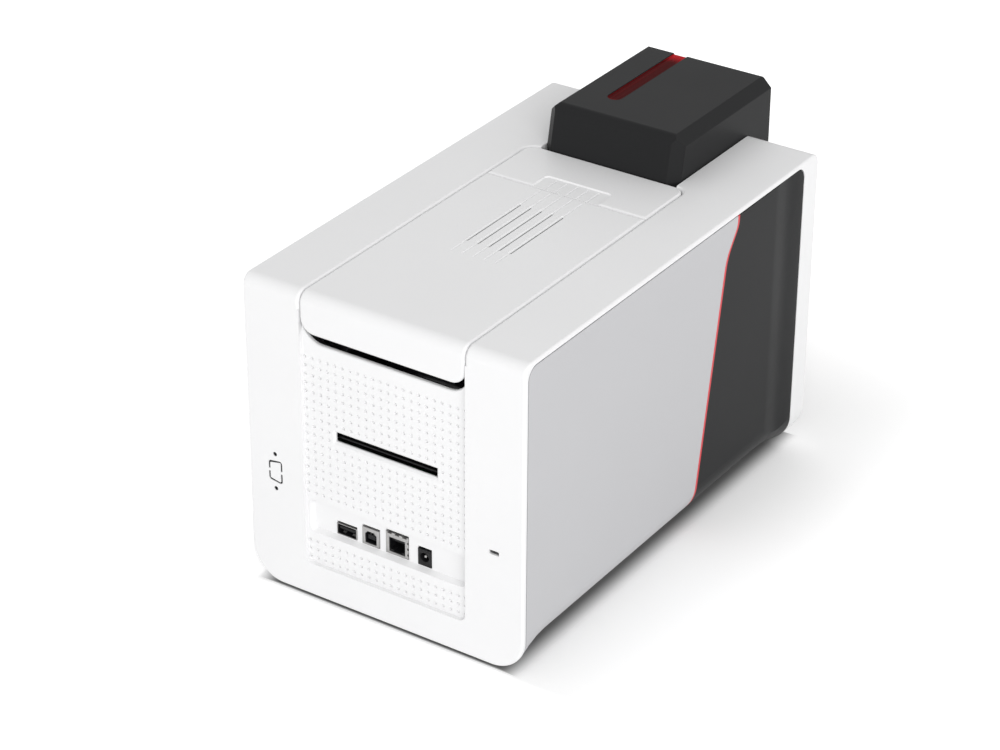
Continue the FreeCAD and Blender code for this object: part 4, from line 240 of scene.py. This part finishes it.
class Finish:
    """The nodes of a material, or of the world."""

    def __init__(self, name, owners=bpy.data.materials):
        self.owner = owners.new(name)
        self.owner.use_nodes = True
        self.tree = self.owner.node_tree
        self.tree.nodes.clear()

    def node(self, kind, settings=None, inputs=None, output=0):
        """Adds a node, with its settings first and then its inputs, and returns one output."""
        made = self.tree.nodes.new(kind)
        for name, setting in (settings or {}).items():
            setattr(made, name, setting)
        for name, value in (inputs or {}).items():
            if isinstance(value, Value):
                self.tree.links.new(value.socket, made.inputs[name])
            else:
                made.inputs[name].default_value = value
        return Value(self, made.outputs[output])

    def place(self, stretch=(1.0, 1.0, 1.0)):
        """Object coordinates, squeezed along the axes that a grain runs along."""
        place = self.node("ShaderNodeTexCoord", output="Object")
        if stretch == (1.0, 1.0, 1.0):
            return place
        return self.node("ShaderNodeMapping", None, {"Vector": place, "Scale": stretch})

    def noise(self, place, size, detail=2.0, roughness=0.5):
        return self.node("ShaderNodeTexNoise", {"noise_dimensions": "3D"},
                         {"Vector": place, "Scale": 1 / size, "Detail": detail,
                          "Roughness": roughness})

    def mix(self, factor, first, second):
        return self.node("ShaderNodeMix", {"data_type": "RGBA"}, {0: factor, 6: first, 7: second}, 2)

    def bump(self, height, relief):
        return self.node("ShaderNodeBump", None,
                         {"Strength": 1.0, "Distance": relief, "Height": height})

    def principled(self, inputs):
        return self.node("ShaderNodeBsdfPrincipled", None, inputs)

    def axis(self, place, index):
        return self.node("ShaderNodeSeparateXYZ", None, {0: place}, index)

    def seen(self):
        """1 for the camera's, a reflection's or a glass's look at a surface, 0 for its light."""
        kinds = ("Is Camera Ray", "Is Glossy Ray", "Is Transmission Ray")
        camera, glossy, through = [self.node("ShaderNodeLightPath", output=kind) for kind in kinds]
        return camera + glossy + through

    def done(self, shader, end="ShaderNodeOutputMaterial"):
        self.tree.links.new(shader.socket, self.tree.nodes.new(end).inputs["Surface"])
        return self.owner


def rgba(colour, factor=1.0):
    return tuple(min(1.0, channel * factor) for channel in colour) + (1.0,)


def moulded_plastic(name, colour, roughness, relief=PLASTIC_RELIEF, mottle=0.02, gloss=0.5):
    """Moulded plastic: a fine eroded grain, and a little cloudiness in colour and gloss."""
    finish = Finish(name)
    place = finish.place()
    fine = finish.noise(place, PLASTIC_GRAIN * MM, detail=2.0, roughness=0.55)
    cloud = finish.noise(place, PLASTIC_CLOUD * MM, detail=3.0)
    tint = finish.mix(cloud, rgba(colour, 1 - mottle), rgba(colour, 1 + mottle))
    inputs = {"Base Color": tint, "Roughness": roughness + cloud.swing(0.1) + fine.swing(0.08),
              "Specular IOR Level": gloss, "Normal": finish.bump(fine, relief * MM)}
    return finish.done(finish.principled(inputs))


def satin_metal(name, colour, roughness, along=(0.06, 1.0, 1.0)):
    """Ground or plated metal with fine streaks along one axis."""
    finish = Finish(name)
    streaks = finish.noise(finish.place(along), METAL_STREAK * MM)
    cloud = finish.noise(finish.place(), METAL_CLOUD * MM, detail=3.0)
    tint = finish.mix(streaks, rgba(colour, 0.86), rgba(colour, 1.06))
    inputs = {"Base Color": tint, "Roughness": roughness + streaks.swing(0.18) + cloud.swing(0.12),
              "Metallic": 1.0, "Normal": finish.bump(streaks, METAL_RELIEF * MM)}
    return finish.done(finish.principled(inputs))


def ground_rubber(name, colour, roughness):
    """Rubber with a dusty, finely pitted face."""
    finish = Finish(name)
    place = finish.place()
    pits = finish.noise(place, RUBBER_PIT * MM, detail=3.0, roughness=0.7)
    dust = finish.noise(place, RUBBER_DUST * MM, detail=4.0, roughness=0.6)
    tint = finish.mix(dust, rgba(colour, 0.8), rgba(colour, 1.7))
    inputs = {"Base Color": tint, "Roughness": roughness + dust.swing(0.2),
              "Normal": finish.bump(pits, RUBBER_RELIEF * MM)}
    return finish.done(finish.principled(inputs))


def ribbed_window(name, colour, lit):
    """Smoked red plastic with fine ribs along it, and painted light along its edges and at its ends.
    """
    finish = Finish(name)
    place = finish.place()
    across = abs(finish.axis(place, 0) - WINDOW_MIDDLE * MM) / (WINDOW_HALF * MM)
    along = finish.axis(place, 1)
    ribs = finish.noise(finish.place((1.0, 0.01, 0.01)), WINDOW_RIB * MM, detail=1.0)
    ribs = ribs.ramp(0.46, 0.66)
    smoke = finish.noise(finish.place((1.0, 0.1, 1.0)), WINDOW_SMOKE * MM, detail=2.0)
    # Painted light: a lighter red along the window's edges and at its ends; the ribs and smoke mixed
    # in are its own pattern
    painted_rim = across.ramp(0.80, 1.0)
    painted_tail = along.ramp((WINDOW_REAR - TAIL_PAINTED_LIGHT) * MM, WINDOW_REAR * MM)
    painted_nose = along.ramp((WINDOW_FRONT + NOSE_PAINTED_LIGHT) * MM, WINDOW_FRONT * MM)
    painted_glow = (painted_rim * 0.3 + painted_tail * 0.35 + painted_nose * 0.8 + ribs * 0.14 + smoke.swing(0.1)).ramp(0.0, 1.0)
    inputs = {"Base Color": finish.mix(painted_glow, rgba(colour), rgba(lit)),
              "Roughness": 0.3 + smoke * 0.12, "Specular IOR Level": 0.012,
              "Normal": finish.bump(ribs, WINDOW_RELIEF * MM)}
    return finish.done(finish.principled(inputs))


def wound_film(name, colour):
    """Thin glossy film in many turns: fine lines that go round the X axis show its edges."""
    finish = Finish(name)
    turns = finish.noise(finish.place((1.0, 6.0, 6.0)), FILM_TURN * MM, detail=3.0)
    bands = finish.noise(finish.place((1.0, 0.05, 0.05)), FILM_BAND * MM, detail=2.0)
    tint = finish.mix(turns * 0.5 + bands * 0.5, rgba(colour, 0.6), rgba(colour, 2.2))
    inputs = {"Base Color": tint, "Roughness": 0.16 + bands * 0.12,
              "Normal": finish.bump(bands, FILM_RELIEF * MM)}
    return finish.done(finish.principled(inputs))


def circuit_board(name, colour):
    """Green board: lighter tracks under the lacquer, and the weave of the glass cloth."""
    finish = Finish(name)
    place = finish.place()
    cells = finish.node("ShaderNodeTexBrick", {"offset": 0.37, "squash": 0.6, "squash_frequency": 3},
                        {"Vector": place, "Scale": 1 / MM, "Mortar Size": 0.35, "Brick Width": 7.0,
                         "Row Height": 2.1, "Color1": rgba(colour, 0.8), "Color2": rgba(colour, 1.0),
                         "Mortar": rgba(colour, 2.1)})
    weave = finish.noise(place, BOARD_WEAVE * MM, detail=1.0)
    inputs = {"Base Color": cells, "Roughness": 0.28 + weave * 0.14,
              "Normal": finish.bump(weave, BOARD_RELIEF * MM)}
    return finish.done(finish.principled(inputs))


def make_materials():
    return {
        "white_plastic": moulded_plastic("white plastic", WHITE, 0.42),
        "light_grey_plastic": moulded_plastic("light grey plastic", LIGHT_GREY, 0.45),
        "dark_grey_plastic": moulded_plastic("charcoal plastic", CHARCOAL, 0.4, mottle=0.08,
                                             gloss=0.065),
        "black_plastic": moulded_plastic("black plastic", BLACK, 0.4, mottle=0.1, gloss=0.2),
        "red_stripe": moulded_plastic("red strip", STRIPE_RED, 0.4, mottle=0.04, gloss=0.35),
        "red_window": ribbed_window("smoked red window", WINDOW_RED, WINDOW_PAINTED_LIGHT_RED),
        "display_black": moulded_plastic("display cover", BLACK, 0.1, relief=0.0),
        "steel": satin_metal("ground steel", STEEL, 0.3, along=(1.0, 0.06, 0.06)),
        "zinc_plate": satin_metal("zinc plate", ZINC, 0.42, along=(1.0, 0.1, 1.0)),
        "socket_metal": satin_metal("socket shell", SHELL_METAL, 0.45),
        "aluminium": satin_metal("extruded aluminium", ALUMINIUM, 0.36),
        "roller_rubber": ground_rubber("roller rubber", ROLLER_BLACK, 0.6),
        "foot_rubber": ground_rubber("foot rubber", FOOT_BLACK, 0.72),
        "ribbon_film": wound_film("ribbon film", FILM_BLACK),
        "circuit_board": circuit_board("circuit board", BOARD_GREEN),
    }


def clear_selection():
    if bpy.context.object and bpy.context.object.mode == "EDIT":
        bpy.ops.object.mode_set(mode="OBJECT")
    bpy.ops.object.select_all(action="DESELECT")


def make_active(piece):
    clear_selection()
    bpy.context.view_layer.objects.active = piece
    piece.select_set(True)


def settled(name):
    """Names the newest piece and puts its place and its turn into its mesh."""
    piece = bpy.context.object
    piece.name = name
    bpy.ops.object.transform_apply(location=True, rotation=True, scale=True)
    return piece


def block(name, low, high):
    """A block between two corners."""
    clear_selection()
    bpy.ops.mesh.primitive_cube_add(size=1, location=[(a + b) / 2 * MM for a, b in zip(low, high)],
                                    scale=[(b - a) * MM for a, b in zip(low, high)])
    return settled(name)


def centred_block(name, x, half, depths, heights):
    """A block that lies evenly about a place across X, between two depths and two heights."""
    return block(name, (x - half, depths[0], heights[0]), (x + half, depths[1], heights[1]))


def rod(name, radius, place, length, tip=None, corners=32):
    """A round piece along Y that starts at a place, with another radius at its rear end if asked."""
    x, y, z = place
    clear_selection()
    bpy.ops.mesh.primitive_cone_add(vertices=corners, radius1=radius * MM,
                                    radius2=(tip or radius) * MM, depth=length * MM,
                                    location=(x * MM, (y + length / 2) * MM, z * MM),
                                    rotation=(-math.pi / 2, 0, 0))
    return settled(name)


def pick(piece, kind, wanted):
    """Opens a piece for editing with the faces, edges or points that pass a test."""
    make_active(piece)
    bpy.ops.object.mode_set(mode="EDIT")
    bpy.ops.mesh.select_mode(type=kind)
    bpy.ops.mesh.select_all(action="DESELECT")
    mesh = bmesh.from_edit_mesh(piece.data)
    for part in {"FACE": mesh.faces, "EDGE": mesh.edges, "VERT": mesh.verts}[kind]:
        if wanted(part):
            part.select_set(True)
    mesh.select_flush_mode()
    bmesh.update_edit_mesh(piece.data)


def same_along(edge, axis):
    """Whether both ends of an edge have the same place along an axis."""
    return abs(edge.verts[0].co[axis] - edge.verts[1].co[axis]) < SAME_PLACE * MM


def faces_rear(face):
    return face.normal.y > FACING


def slide_in(depth):
    """Pushes the chosen faces in from the rear."""
    bpy.ops.mesh.extrude_region_move(TRANSFORM_OT_translate={"value": (0, -depth * MM, 0)})


def apply_modifier(piece, kind, **settings):
    modifier = piece.modifiers.new(kind.lower(), kind)
    for name, setting in settings.items():
        setattr(modifier, name, setting)
    make_active(piece)
    bpy.ops.object.modifier_apply(modifier=modifier.name)


def carve(piece, cutter):
    apply_modifier(piece, "BOOLEAN", operation="DIFFERENCE", solver="EXACT", object=cutter)
    bpy.data.objects.remove(cutter, do_unlink=True)


def soften(piece, width, segments=2):
    apply_modifier(piece, "BEVEL", width=width * MM, segments=segments, limit_method="ANGLE",
                   angle_limit=SMOOTH_ANGLE, harden_normals=False)


def joined(name, pieces):
    clear_selection()
    for piece in pieces:
        piece.select_set(True)
    bpy.context.view_layer.objects.active = pieces[0]
    bpy.ops.object.join()
    bpy.context.object.name = name
    return bpy.context.object


def install(piece, body, slot_name, *nodes):
    """Gives a finished piece its finish, its body and the nodes that it stands for."""
    make_active(piece)
    bpy.ops.object.shade_smooth_by_angle(angle=SMOOTH_ANGLE)
    piece.data.materials.clear()
    piece.data.materials.append(finishes[slot_name])
    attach(piece, body)
    if nodes:
        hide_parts(*nodes)


def copied_node(name, node):
    """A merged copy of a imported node, for a shape that keeps the node's form and adds to it."""
    piece = bpy.data.objects.new(name, frame["nodes"][node].data.copy())
    bpy.context.collection.objects.link(piece)
    make_active(piece)
    bpy.ops.object.mode_set(mode="EDIT")
    bpy.ops.mesh.select_all(action="SELECT")
    bpy.ops.mesh.customdata_custom_splitnormals_clear()
    bpy.ops.mesh.remove_doubles(threshold=0.001 * MM)
    bpy.ops.object.mode_set(mode="OBJECT")
    return piece


def on_bare_area(point):
    """Whether the dimple that a cutter's point belongs to would fall on the bay or the card slot."""
    column = round((point.co.x / MM - DOT_FIRST_COLUMN) / DOT_PITCH)
    row = round((point.co.z / MM - DOT_FIRST_ROW) / DOT_RISE)
    x = DOT_FIRST_COLUMN + column * DOT_PITCH
    z = DOT_FIRST_ROW + row * DOT_RISE
    return any(x0 < x < x1 and z0 < z < z1 for (x0, z0), (x1, z1) in BARE_AREAS)


def dotted_rear_panel():
    """The rear panel with its field of dimples."""
    panel = copied_node("dotted_rear_panel", "rear_panel")
    cutter = rod("dimples", DOT_FLOOR, (DOT_FIRST_COLUMN, PANEL_SKIN - DOT_DEPTH, DOT_FIRST_ROW),
                 DOT_DEPTH + DOT_OVER, tip=DOT_MOUTH + DOT_OVER / 2, corners=DOT_CORNERS)
    apply_modifier(cutter, "ARRAY", count=DOT_COLUMNS, use_relative_offset=False,
                   use_constant_offset=True, constant_offset_displace=(DOT_PITCH * MM, 0, 0))
    apply_modifier(cutter, "ARRAY", count=DOT_ROWS, use_relative_offset=False,
                   use_constant_offset=True, constant_offset_displace=(0, 0, DOT_RISE * MM))
    pick(cutter, "VERT", on_bare_area)
    bpy.ops.mesh.delete(type="VERT")
    carve(panel, cutter)
    install(panel, "housing", "white_plastic", "rear_panel")


def socket_block(name, x, width, height):
    """A socket's outside, standing on the board."""
    return centred_block(name, x, width / 2, (SOCKET_BACK, SOCKET_FACE),
                         (BOARD_TOP, BOARD_TOP + height))


def socket_opening(x, half, low, high):
    """A cutter for the opening in a socket's face."""
    return centred_block("opening", x, half, (SOCKET_FACE - SOCKET_HOLLOW, SOCKET_FACE + PAST),
                         (low, high))


def spring_finger(x):
    """A strip on the floor of the USB host socket with a raised crest."""
    finger = centred_block("spring", x, FINGER_HALF,
                           (SOCKET_FACE - FINGER_END, SOCKET_FACE - FINGER_START),
                           (BOARD_TOP + SHEET / 2, BOARD_TOP + SHEET + FINGER_RISE))
    pick(finger, "FACE", lambda face: face.normal.z > FACING)
    bpy.ops.mesh.subdivide(number_cuts=3)
    pick(finger, "VERT", lambda point: point.co.z > (BOARD_TOP + SHEET) * MM
         and abs(point.co.y - (SOCKET_FACE - CREST_DEPTH) * MM) < CREST_HALF * MM)
    bpy.ops.transform.translate(value=(0, 0, CREST_LIFT * MM))
    clear_selection()
    return finger


def usb_host():
    """A folded shell with a rounded mouth and two spring fingers on its floor."""
    shell = socket_block("usb_host_socket", HOST_X, HOST_WIDTH, HOST_HEIGHT)
    pick(shell, "FACE", faces_rear)
    bpy.ops.mesh.inset(thickness=SHEET * MM)
    slide_in(SOCKET_HOLLOW)
    pick(shell, "EDGE", lambda edge: all(abs(point.co.y - SOCKET_FACE * MM) < SAME_PLACE * MM
                                         for point in edge.verts))
    bpy.ops.mesh.bevel(offset=RIM * MM, segments=2, profile=0.5)
    clear_selection()
    fingers = [spring_finger(HOST_X - FINGER_X), spring_finger(HOST_X + FINGER_X)]
    socket = joined("usb_host_socket", [shell] + fingers)
    install(socket, "housing", "socket_metal", "usb_host_shell")


def usb_device():
    """A square shell round a socket with two cut upper corners."""
    shell = socket_block("usb_device_socket", DEVICE_X, DEVICE_WIDTH, DEVICE_HEIGHT)
    low = BOARD_TOP + DEVICE_RISE
    cutter = socket_opening(DEVICE_X, DEVICE_HOLE / 2, low, low + DEVICE_HOLE)
    pick(cutter, "EDGE", lambda edge: same_along(edge, 0) and same_along(edge, 2)
         and edge.verts[0].co.z > (low + DEVICE_HOLE / 2) * MM)
    bpy.ops.mesh.bevel(offset=DEVICE_CUT * MM, segments=1)
    clear_selection()
    carve(shell, cutter)
    soften(shell, RIM)
    install(shell, "housing", "socket_metal", "usb_device_shell")


def network_socket():
    """A shielded socket with spring notches along its top and its side."""
    shell = socket_block("network_socket", NETWORK_X, NETWORK_WIDTH, NETWORK_HEIGHT)
    low = BOARD_TOP + NETWORK_RISE
    top = BOARD_TOP + NETWORK_HEIGHT
    side = NETWORK_X - NETWORK_WIDTH / 2
    depths = (SOCKET_FACE - NOTCH_DEPTH, SOCKET_FACE + PAST)
    carve(shell, socket_opening(NETWORK_X, NETWORK_HOLE / 2, low, low + NETWORK_TALL))
    for x in TOP_NOTCHES:
        carve(shell, centred_block("notch", NETWORK_X + x, TOP_NOTCH_HALF, depths,
                                   (top - TOP_NOTCH_DROP, top + PAST)))
    for z in SIDE_NOTCHES:
        carve(shell, block("notch", (side - PAST, depths[0], BOARD_TOP + z - SIDE_NOTCH_HALF),
                           (side + SIDE_NOTCH_REACH, depths[1], BOARD_TOP + z + SIDE_NOTCH_HALF)))
    soften(shell, NOTCH_ROUNDING)
    install(shell, "housing", "socket_metal", "network_shell")


def power_inlet():
    """The round inlet with its centre pin."""
    body = socket_block("power_inlet_body", POWER_X, POWER_WIDTH, POWER_HEIGHT)
    carve(body, rod("bore", BORE_RADIUS, (POWER_X, SOCKET_FACE - BORE_DEPTH, POWER_AXIS),
                    BORE_DEPTH + PAST, corners=BORE_CORNERS))
    soften(body, INLET_ROUNDING)
    install(body, "housing", "black_plastic", "power_socket")
    pin = rod("power_inlet_pin", PIN_RADIUS, (POWER_X, SOCKET_FACE - PIN_DEPTH, POWER_AXIS),
              PIN_LENGTH, corners=PIN_CORNERS)
    pick(pin, "FACE", faces_rear)
    bpy.ops.mesh.inset(thickness=PIN_TIP_INSET * MM)
    bpy.ops.transform.translate(value=(0, PIN_TIP_RISE * MM, 0))
    clear_selection()
    soften(pin, PIN_ROUNDING)
    install(pin, "housing", "socket_metal")


def shade_liner(x, half, heights, wall):
    """A black tube just inside a socket's opening, painted shade on the opening's inner walls."""
    tube = centred_block("shade_liner", x, half, (SOCKET_FACE - SOCKET_HOLLOW, SOCKET_FACE - SHADE_LINER_DROP),
                         heights)
    pick(tube, "FACE", faces_rear)
    bpy.ops.mesh.inset(thickness=wall * MM)
    slide_in(SHADE_LINER_HOLLOW)
    clear_selection()
    return tube


def socket_insides():
    """The black insulators behind the shells' openings with their tongues, black liners of painted
    shade inside the openings, and all the contacts.
    """
    core_depths = (CORE_BACK, CORE_FRONT)
    host_floor, host_roof = BOARD_TOP + SHEET, BOARD_TOP + HOST_HEIGHT - SHEET
    device_half, device_mid = DEVICE_HOLE / 2, BOARD_TOP + DEVICE_RISE + DEVICE_HOLE / 2
    device_heights = (device_mid - device_half, device_mid + device_half)
    network_half, low = NETWORK_HOLE / 2, BOARD_TOP + NETWORK_RISE
    network_heights = (low, low + NETWORK_TALL)
    tongue_low, tongue_high = [BOARD_TOP + height for height in HOST_TONGUE_HEIGHTS]
    tongue_half, tongue_rise = DEVICE_TONGUE
    step_depths, step_heights = (CORE_BACK, SOCKET_FACE - STEP_DEPTH), (low, low + STEP_HEIGHT)
    cores = [
        centred_block("core", HOST_X, HOST_CORE_HALF, core_depths,
                      (host_floor, BOARD_TOP + HOST_CORE_TOP)),
        centred_block("tongue", HOST_X, HOST_TONGUE_HALF,
                      (CORE_BACK, SOCKET_FACE - HOST_TONGUE_DEPTH), (tongue_low, tongue_high)),
        centred_block("core", DEVICE_X, device_half, core_depths, device_heights),
        centred_block("tongue", DEVICE_X, tongue_half,
                      (CORE_BACK, SOCKET_FACE - DEVICE_TONGUE_DEPTH),
                      (device_mid - tongue_rise, device_mid + tongue_rise)),
        centred_block("core", NETWORK_X, network_half, core_depths, network_heights),
        centred_block("comb", NETWORK_X, network_half, (CORE_BACK, SOCKET_FACE - COMB_DEPTH),
                      (low + COMB_RISE, low + NETWORK_TALL)),
        block("step", (NETWORK_X - network_half, step_depths[0], step_heights[0]),
              (NETWORK_X - STEP_START, step_depths[1], step_heights[1])),
        block("step", (NETWORK_X + STEP_START, step_depths[0], step_heights[0]),
              (NETWORK_X + network_half, step_depths[1], step_heights[1])),
        # Liners: black tubes that are painted shade on the openings' inner walls
        shade_liner(HOST_X, HOST_CORE_HALF, (host_floor, host_roof), HOST_SHADE_LINER),
        shade_liner(DEVICE_X, device_half, device_heights, DEVICE_SHADE_LINER),
        shade_liner(NETWORK_X, network_half, network_heights, NETWORK_SHADE_LINER),
    ]
    for core in cores:
        soften(core, CORE_ROUNDING, 1)
    install(joined("socket_inserts", cores), "housing", "black_plastic", "socket_cores")

    host_depths = (CORE_FRONT, SOCKET_FACE - HOST_CONTACT_DEPTH)
    host_heights = [BOARD_TOP + height for height in HOST_CONTACT_HEIGHTS]
    contacts = [centred_block("contact", HOST_X + x, HOST_CONTACT_HALF, host_depths, host_heights)
                for x in HOST_CONTACTS]
    offset_x, offset_z = DEVICE_CONTACT
    half_x, half_z = DEVICE_CONTACT_HALVES
    device_depths = (CORE_FRONT, SOCKET_FACE - DEVICE_CONTACT_DEPTH)
    contacts += [centred_block("contact", DEVICE_X + x, half_x, device_depths,
                               (device_mid + z - half_z, device_mid + z + half_z))
                 for x in (-offset_x, offset_x) for z in (-offset_z, offset_z)]
    network_depths = [SOCKET_FACE - depth for depth in CONTACT_DEPTHS]
    network_rises = [low + height for height in CONTACT_HEIGHTS]
    middle = (NETWORK_CONTACTS - 1) / 2
    contacts += [centred_block("contact", NETWORK_X + (i - middle) * CONTACT_PITCH, CONTACT_HALF,
                               network_depths, network_rises)
                 for i in range(NETWORK_CONTACTS)]
    for contact in contacts:
        soften(contact, CONTACT_ROUNDING, 1)
    install(joined("socket_contacts", contacts), "housing", "socket_metal")


def knock_out_form(inset, y0, y1):
    """The knock-out's slanted outline, drawn smaller by an inset, as a block between two depths."""
    half_width, half_height = BLANK_WIDTH / 2 - inset, BLANK_HEIGHT / 2 - inset
    form = centred_block("knock_out", BLANK_X, half_width, (y0, y1),
                         (BLANK_Z - half_height, BLANK_Z + half_height))
    for side in (-1, 1):
        pick(form, "VERT", lambda point: point.co.x > BLANK_X * MM
             and (point.co.z - BLANK_Z * MM) * side > 0)
        bpy.ops.transform.translate(value=(0, 0, -side * BLANK_SLANT * MM))
    pick(form, "EDGE", lambda edge: not same_along(edge, 1))
    bpy.ops.mesh.bevel(offset=(BLANK_CORNER - inset) * MM, segments=4)
    clear_selection()
    return form


def knock_out_shade_insert():
    """A black ring at the bottom of the knock-out's groove and black bottoms for its two marks,
    which are painted shade.
    """
    low, high = REAR_SKIN - SHADE_RING_DROP - SHADE_RING_THICKNESS, REAR_SKIN - SHADE_RING_DROP
    half_break = BLANK_BREAK / 2 + SHADE_RING_GAP
    shade_ring = knock_out_form(SHADE_RING_GAP, low, high)
    carve(shade_ring, knock_out_form(BLANK_GROOVE - SHADE_RING_GAP, low - PAST, high + PAST))
    carve(shade_ring, centred_block("break", BLANK_X, BLANK_WIDTH, (low - PAST, high + PAST),
                             (BLANK_Z - half_break, BLANK_Z + half_break)))
    mark_shade_discs = [rod("mark", MARK_RADIUS, (BLANK_X, low, BLANK_Z + side * MARK_REACH), SHADE_RING_THICKNESS)
             for side in (-1, 1)]
    for mark in mark_shade_discs:
        pick(mark, "FACE", faces_rear)
        bpy.ops.mesh.inset(thickness=MARK_RIM * MM)
        slide_in(MARK_HOLLOW)
        clear_selection()
    # Black plastic here is painted shade in the groove and in the marks
    install(joined("knock_out_shade_insert", [shade_ring] + mark_shade_discs), "housing", "black_plastic")


def flap_push_spring():
    """The coil spring under the release flap, copied with a mesh of its own."""
    spring = copied_node("flap_push_spring", "flap_spring")
    install(spring, "housing", "steel", "flap_spring")
    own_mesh(spring)


def dress():
    """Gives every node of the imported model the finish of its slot."""
    for entry in frame["record"]["subparts"]:
        node = frame["nodes"][entry["node"]]
        node.data.materials.clear()
        node.data.materials.append(finishes[entry["material_slot"]])


def add_camera():
    """The camera at the photograph's place, with its slight roll."""
    view = Vector((-math.sin(CAMERA_AZIMUTH) * math.cos(CAMERA_ELEVATION),
                   math.cos(CAMERA_AZIMUTH) * math.cos(CAMERA_ELEVATION),
                   -math.sin(CAMERA_ELEVATION)))
    level = Vector((math.cos(CAMERA_AZIMUTH), math.sin(CAMERA_AZIMUTH), 0))
    upright = level.cross(view)
    right = level * math.cos(CAMERA_ROLL) + upright * math.sin(CAMERA_ROLL)
    up = right.cross(view)
    turn = Matrix((right, up, -view)).transposed().to_4x4()
    data = bpy.data.cameras.new("camera")
    data.lens = LENS
    data.sensor_width = SENSOR
    camera = bpy.data.objects.new("camera", data)
    camera.matrix_world = Matrix.Translation(CAMERA_PLACE) @ turn
    bpy.context.collection.objects.link(camera)
    bpy.context.scene.camera = camera


def add_key_lamp():
    data = bpy.data.lights.new("key", "AREA")
    data.size = KEY_SIZE
    data.energy = KEY_POWER
    lamp = bpy.data.objects.new("key", data)
    lamp.location = KEY_PLACE
    lamp.rotation_euler = (LIGHT_TARGET - KEY_PLACE).to_track_quat("-Z", "Y").to_euler()
    bpy.context.collection.objects.link(lamp)


def add_world():
    """Even light, stronger near the horizon, and plain white where anything sees past the floor."""
    studio = Finish("studio", bpy.data.worlds)
    bpy.context.scene.world = studio.owner
    up = studio.axis(studio.node("ShaderNodeTexCoord", output="Generated"), 2)
    low = (1 - up.at_least(0.0)) ** 2
    even = ZENITH_STRENGTH + low * (HORIZON_STRENGTH - ZENITH_STRENGTH)
    seen = studio.seen()
    strength = even * (1 - seen) + seen
    sky = studio.node("ShaderNodeBackground", None,
                      {"Color": rgba((1, 1, 1)), "Strength": strength})
    studio.done(sky, "ShaderNodeOutputWorld")


def add_floor():
    """A pale floor that keeps the printer's cast shadow, is darkened under the printer by painted
    shadow, is lifted to white round it by painted light, and is clear from below.
    """
    clear_selection()
    bpy.ops.mesh.primitive_plane_add(size=FLOOR_SIZE, location=(0, 0, 0))
    floor = bpy.context.object
    floor.name = "floor"
    finish = Finish("floor")
    place = finish.place()
    x, y = finish.axis(place, 0), finish.axis(place, 1)
    side, rear = FOOTPRINT_HALVES[0], FOOTPRINT_MIDDLE + FOOTPRINT_HALVES[1]
    across = abs(x) / side
    along = abs(y - FOOTPRINT_MIDDLE) / FOOTPRINT_HALVES[1]
    reach = (across ** CORNER_POWER + along ** CORNER_POWER) ** (1 / CORNER_POWER)
    # Where painted light fills the printer's shadow: behind it and on its +X side
    behind = y.ramp(rear, rear + EDGE_BAND) * x.ramp(-2 * side, -side)
    beside = x.ramp(side - EDGE_BAND, side) * y.ramp(-side, side)
    painted_fill_zone = behind.at_least(beside)
    clear_of_painted_shadow = across.ramp(*SIDE_SHADE).at_least(along.ramp(*END_SHADE))
    # Painted light: a glow seen only by the camera, reflections and glass, lifting the floor to
    # white
    painted_lift = clear_of_painted_shadow * NEAR_PAINTED_LIGHT + reach.ramp(*GLOW_REACH) * FAR_PAINTED_LIGHT + painted_fill_zone * SHADOW_FILL_PAINTED_LIGHT
    # Painted shadow: a dark floor colour under the printer's footprint
    colour = finish.mix(clear_of_painted_shadow, rgba(PAINTED_SHADOW_FLOOR), rgba(FLOOR_COLOUR))
    matt = finish.node("ShaderNodeBsdfDiffuse", None, {"Color": colour})
    painted_glow = finish.node("ShaderNodeEmission", None, {"Strength": finish.seen() * painted_lift})
    lit = finish.node("ShaderNodeAddShader", None, {0: matt, 1: painted_glow})
    below = finish.node("ShaderNodeNewGeometry", output="Backfacing")
    clear = finish.node("ShaderNodeBsdfTransparent")
    surface = finish.node("ShaderNodeMixShader", None, {0: below, 1: lit, 2: clear})
    floor.data.materials.append(finish.done(surface))


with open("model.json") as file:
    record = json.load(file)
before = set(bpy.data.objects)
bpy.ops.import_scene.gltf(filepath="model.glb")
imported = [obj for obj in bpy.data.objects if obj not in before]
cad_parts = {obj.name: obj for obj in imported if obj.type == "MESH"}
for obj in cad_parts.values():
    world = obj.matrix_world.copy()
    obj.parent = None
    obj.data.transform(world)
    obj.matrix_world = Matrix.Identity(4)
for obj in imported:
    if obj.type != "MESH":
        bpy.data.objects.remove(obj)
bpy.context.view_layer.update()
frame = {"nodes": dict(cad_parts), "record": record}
add_camera()
add_world()
add_key_lamp()
add_floor()
finishes = make_materials()
dress()
dotted_rear_panel()
usb_host()
usb_device()
network_socket()
power_inlet()
socket_insides()
knock_out_shade_insert()
flap_push_spring()
bpy.context.scene.view_settings.view_transform = "Standard"
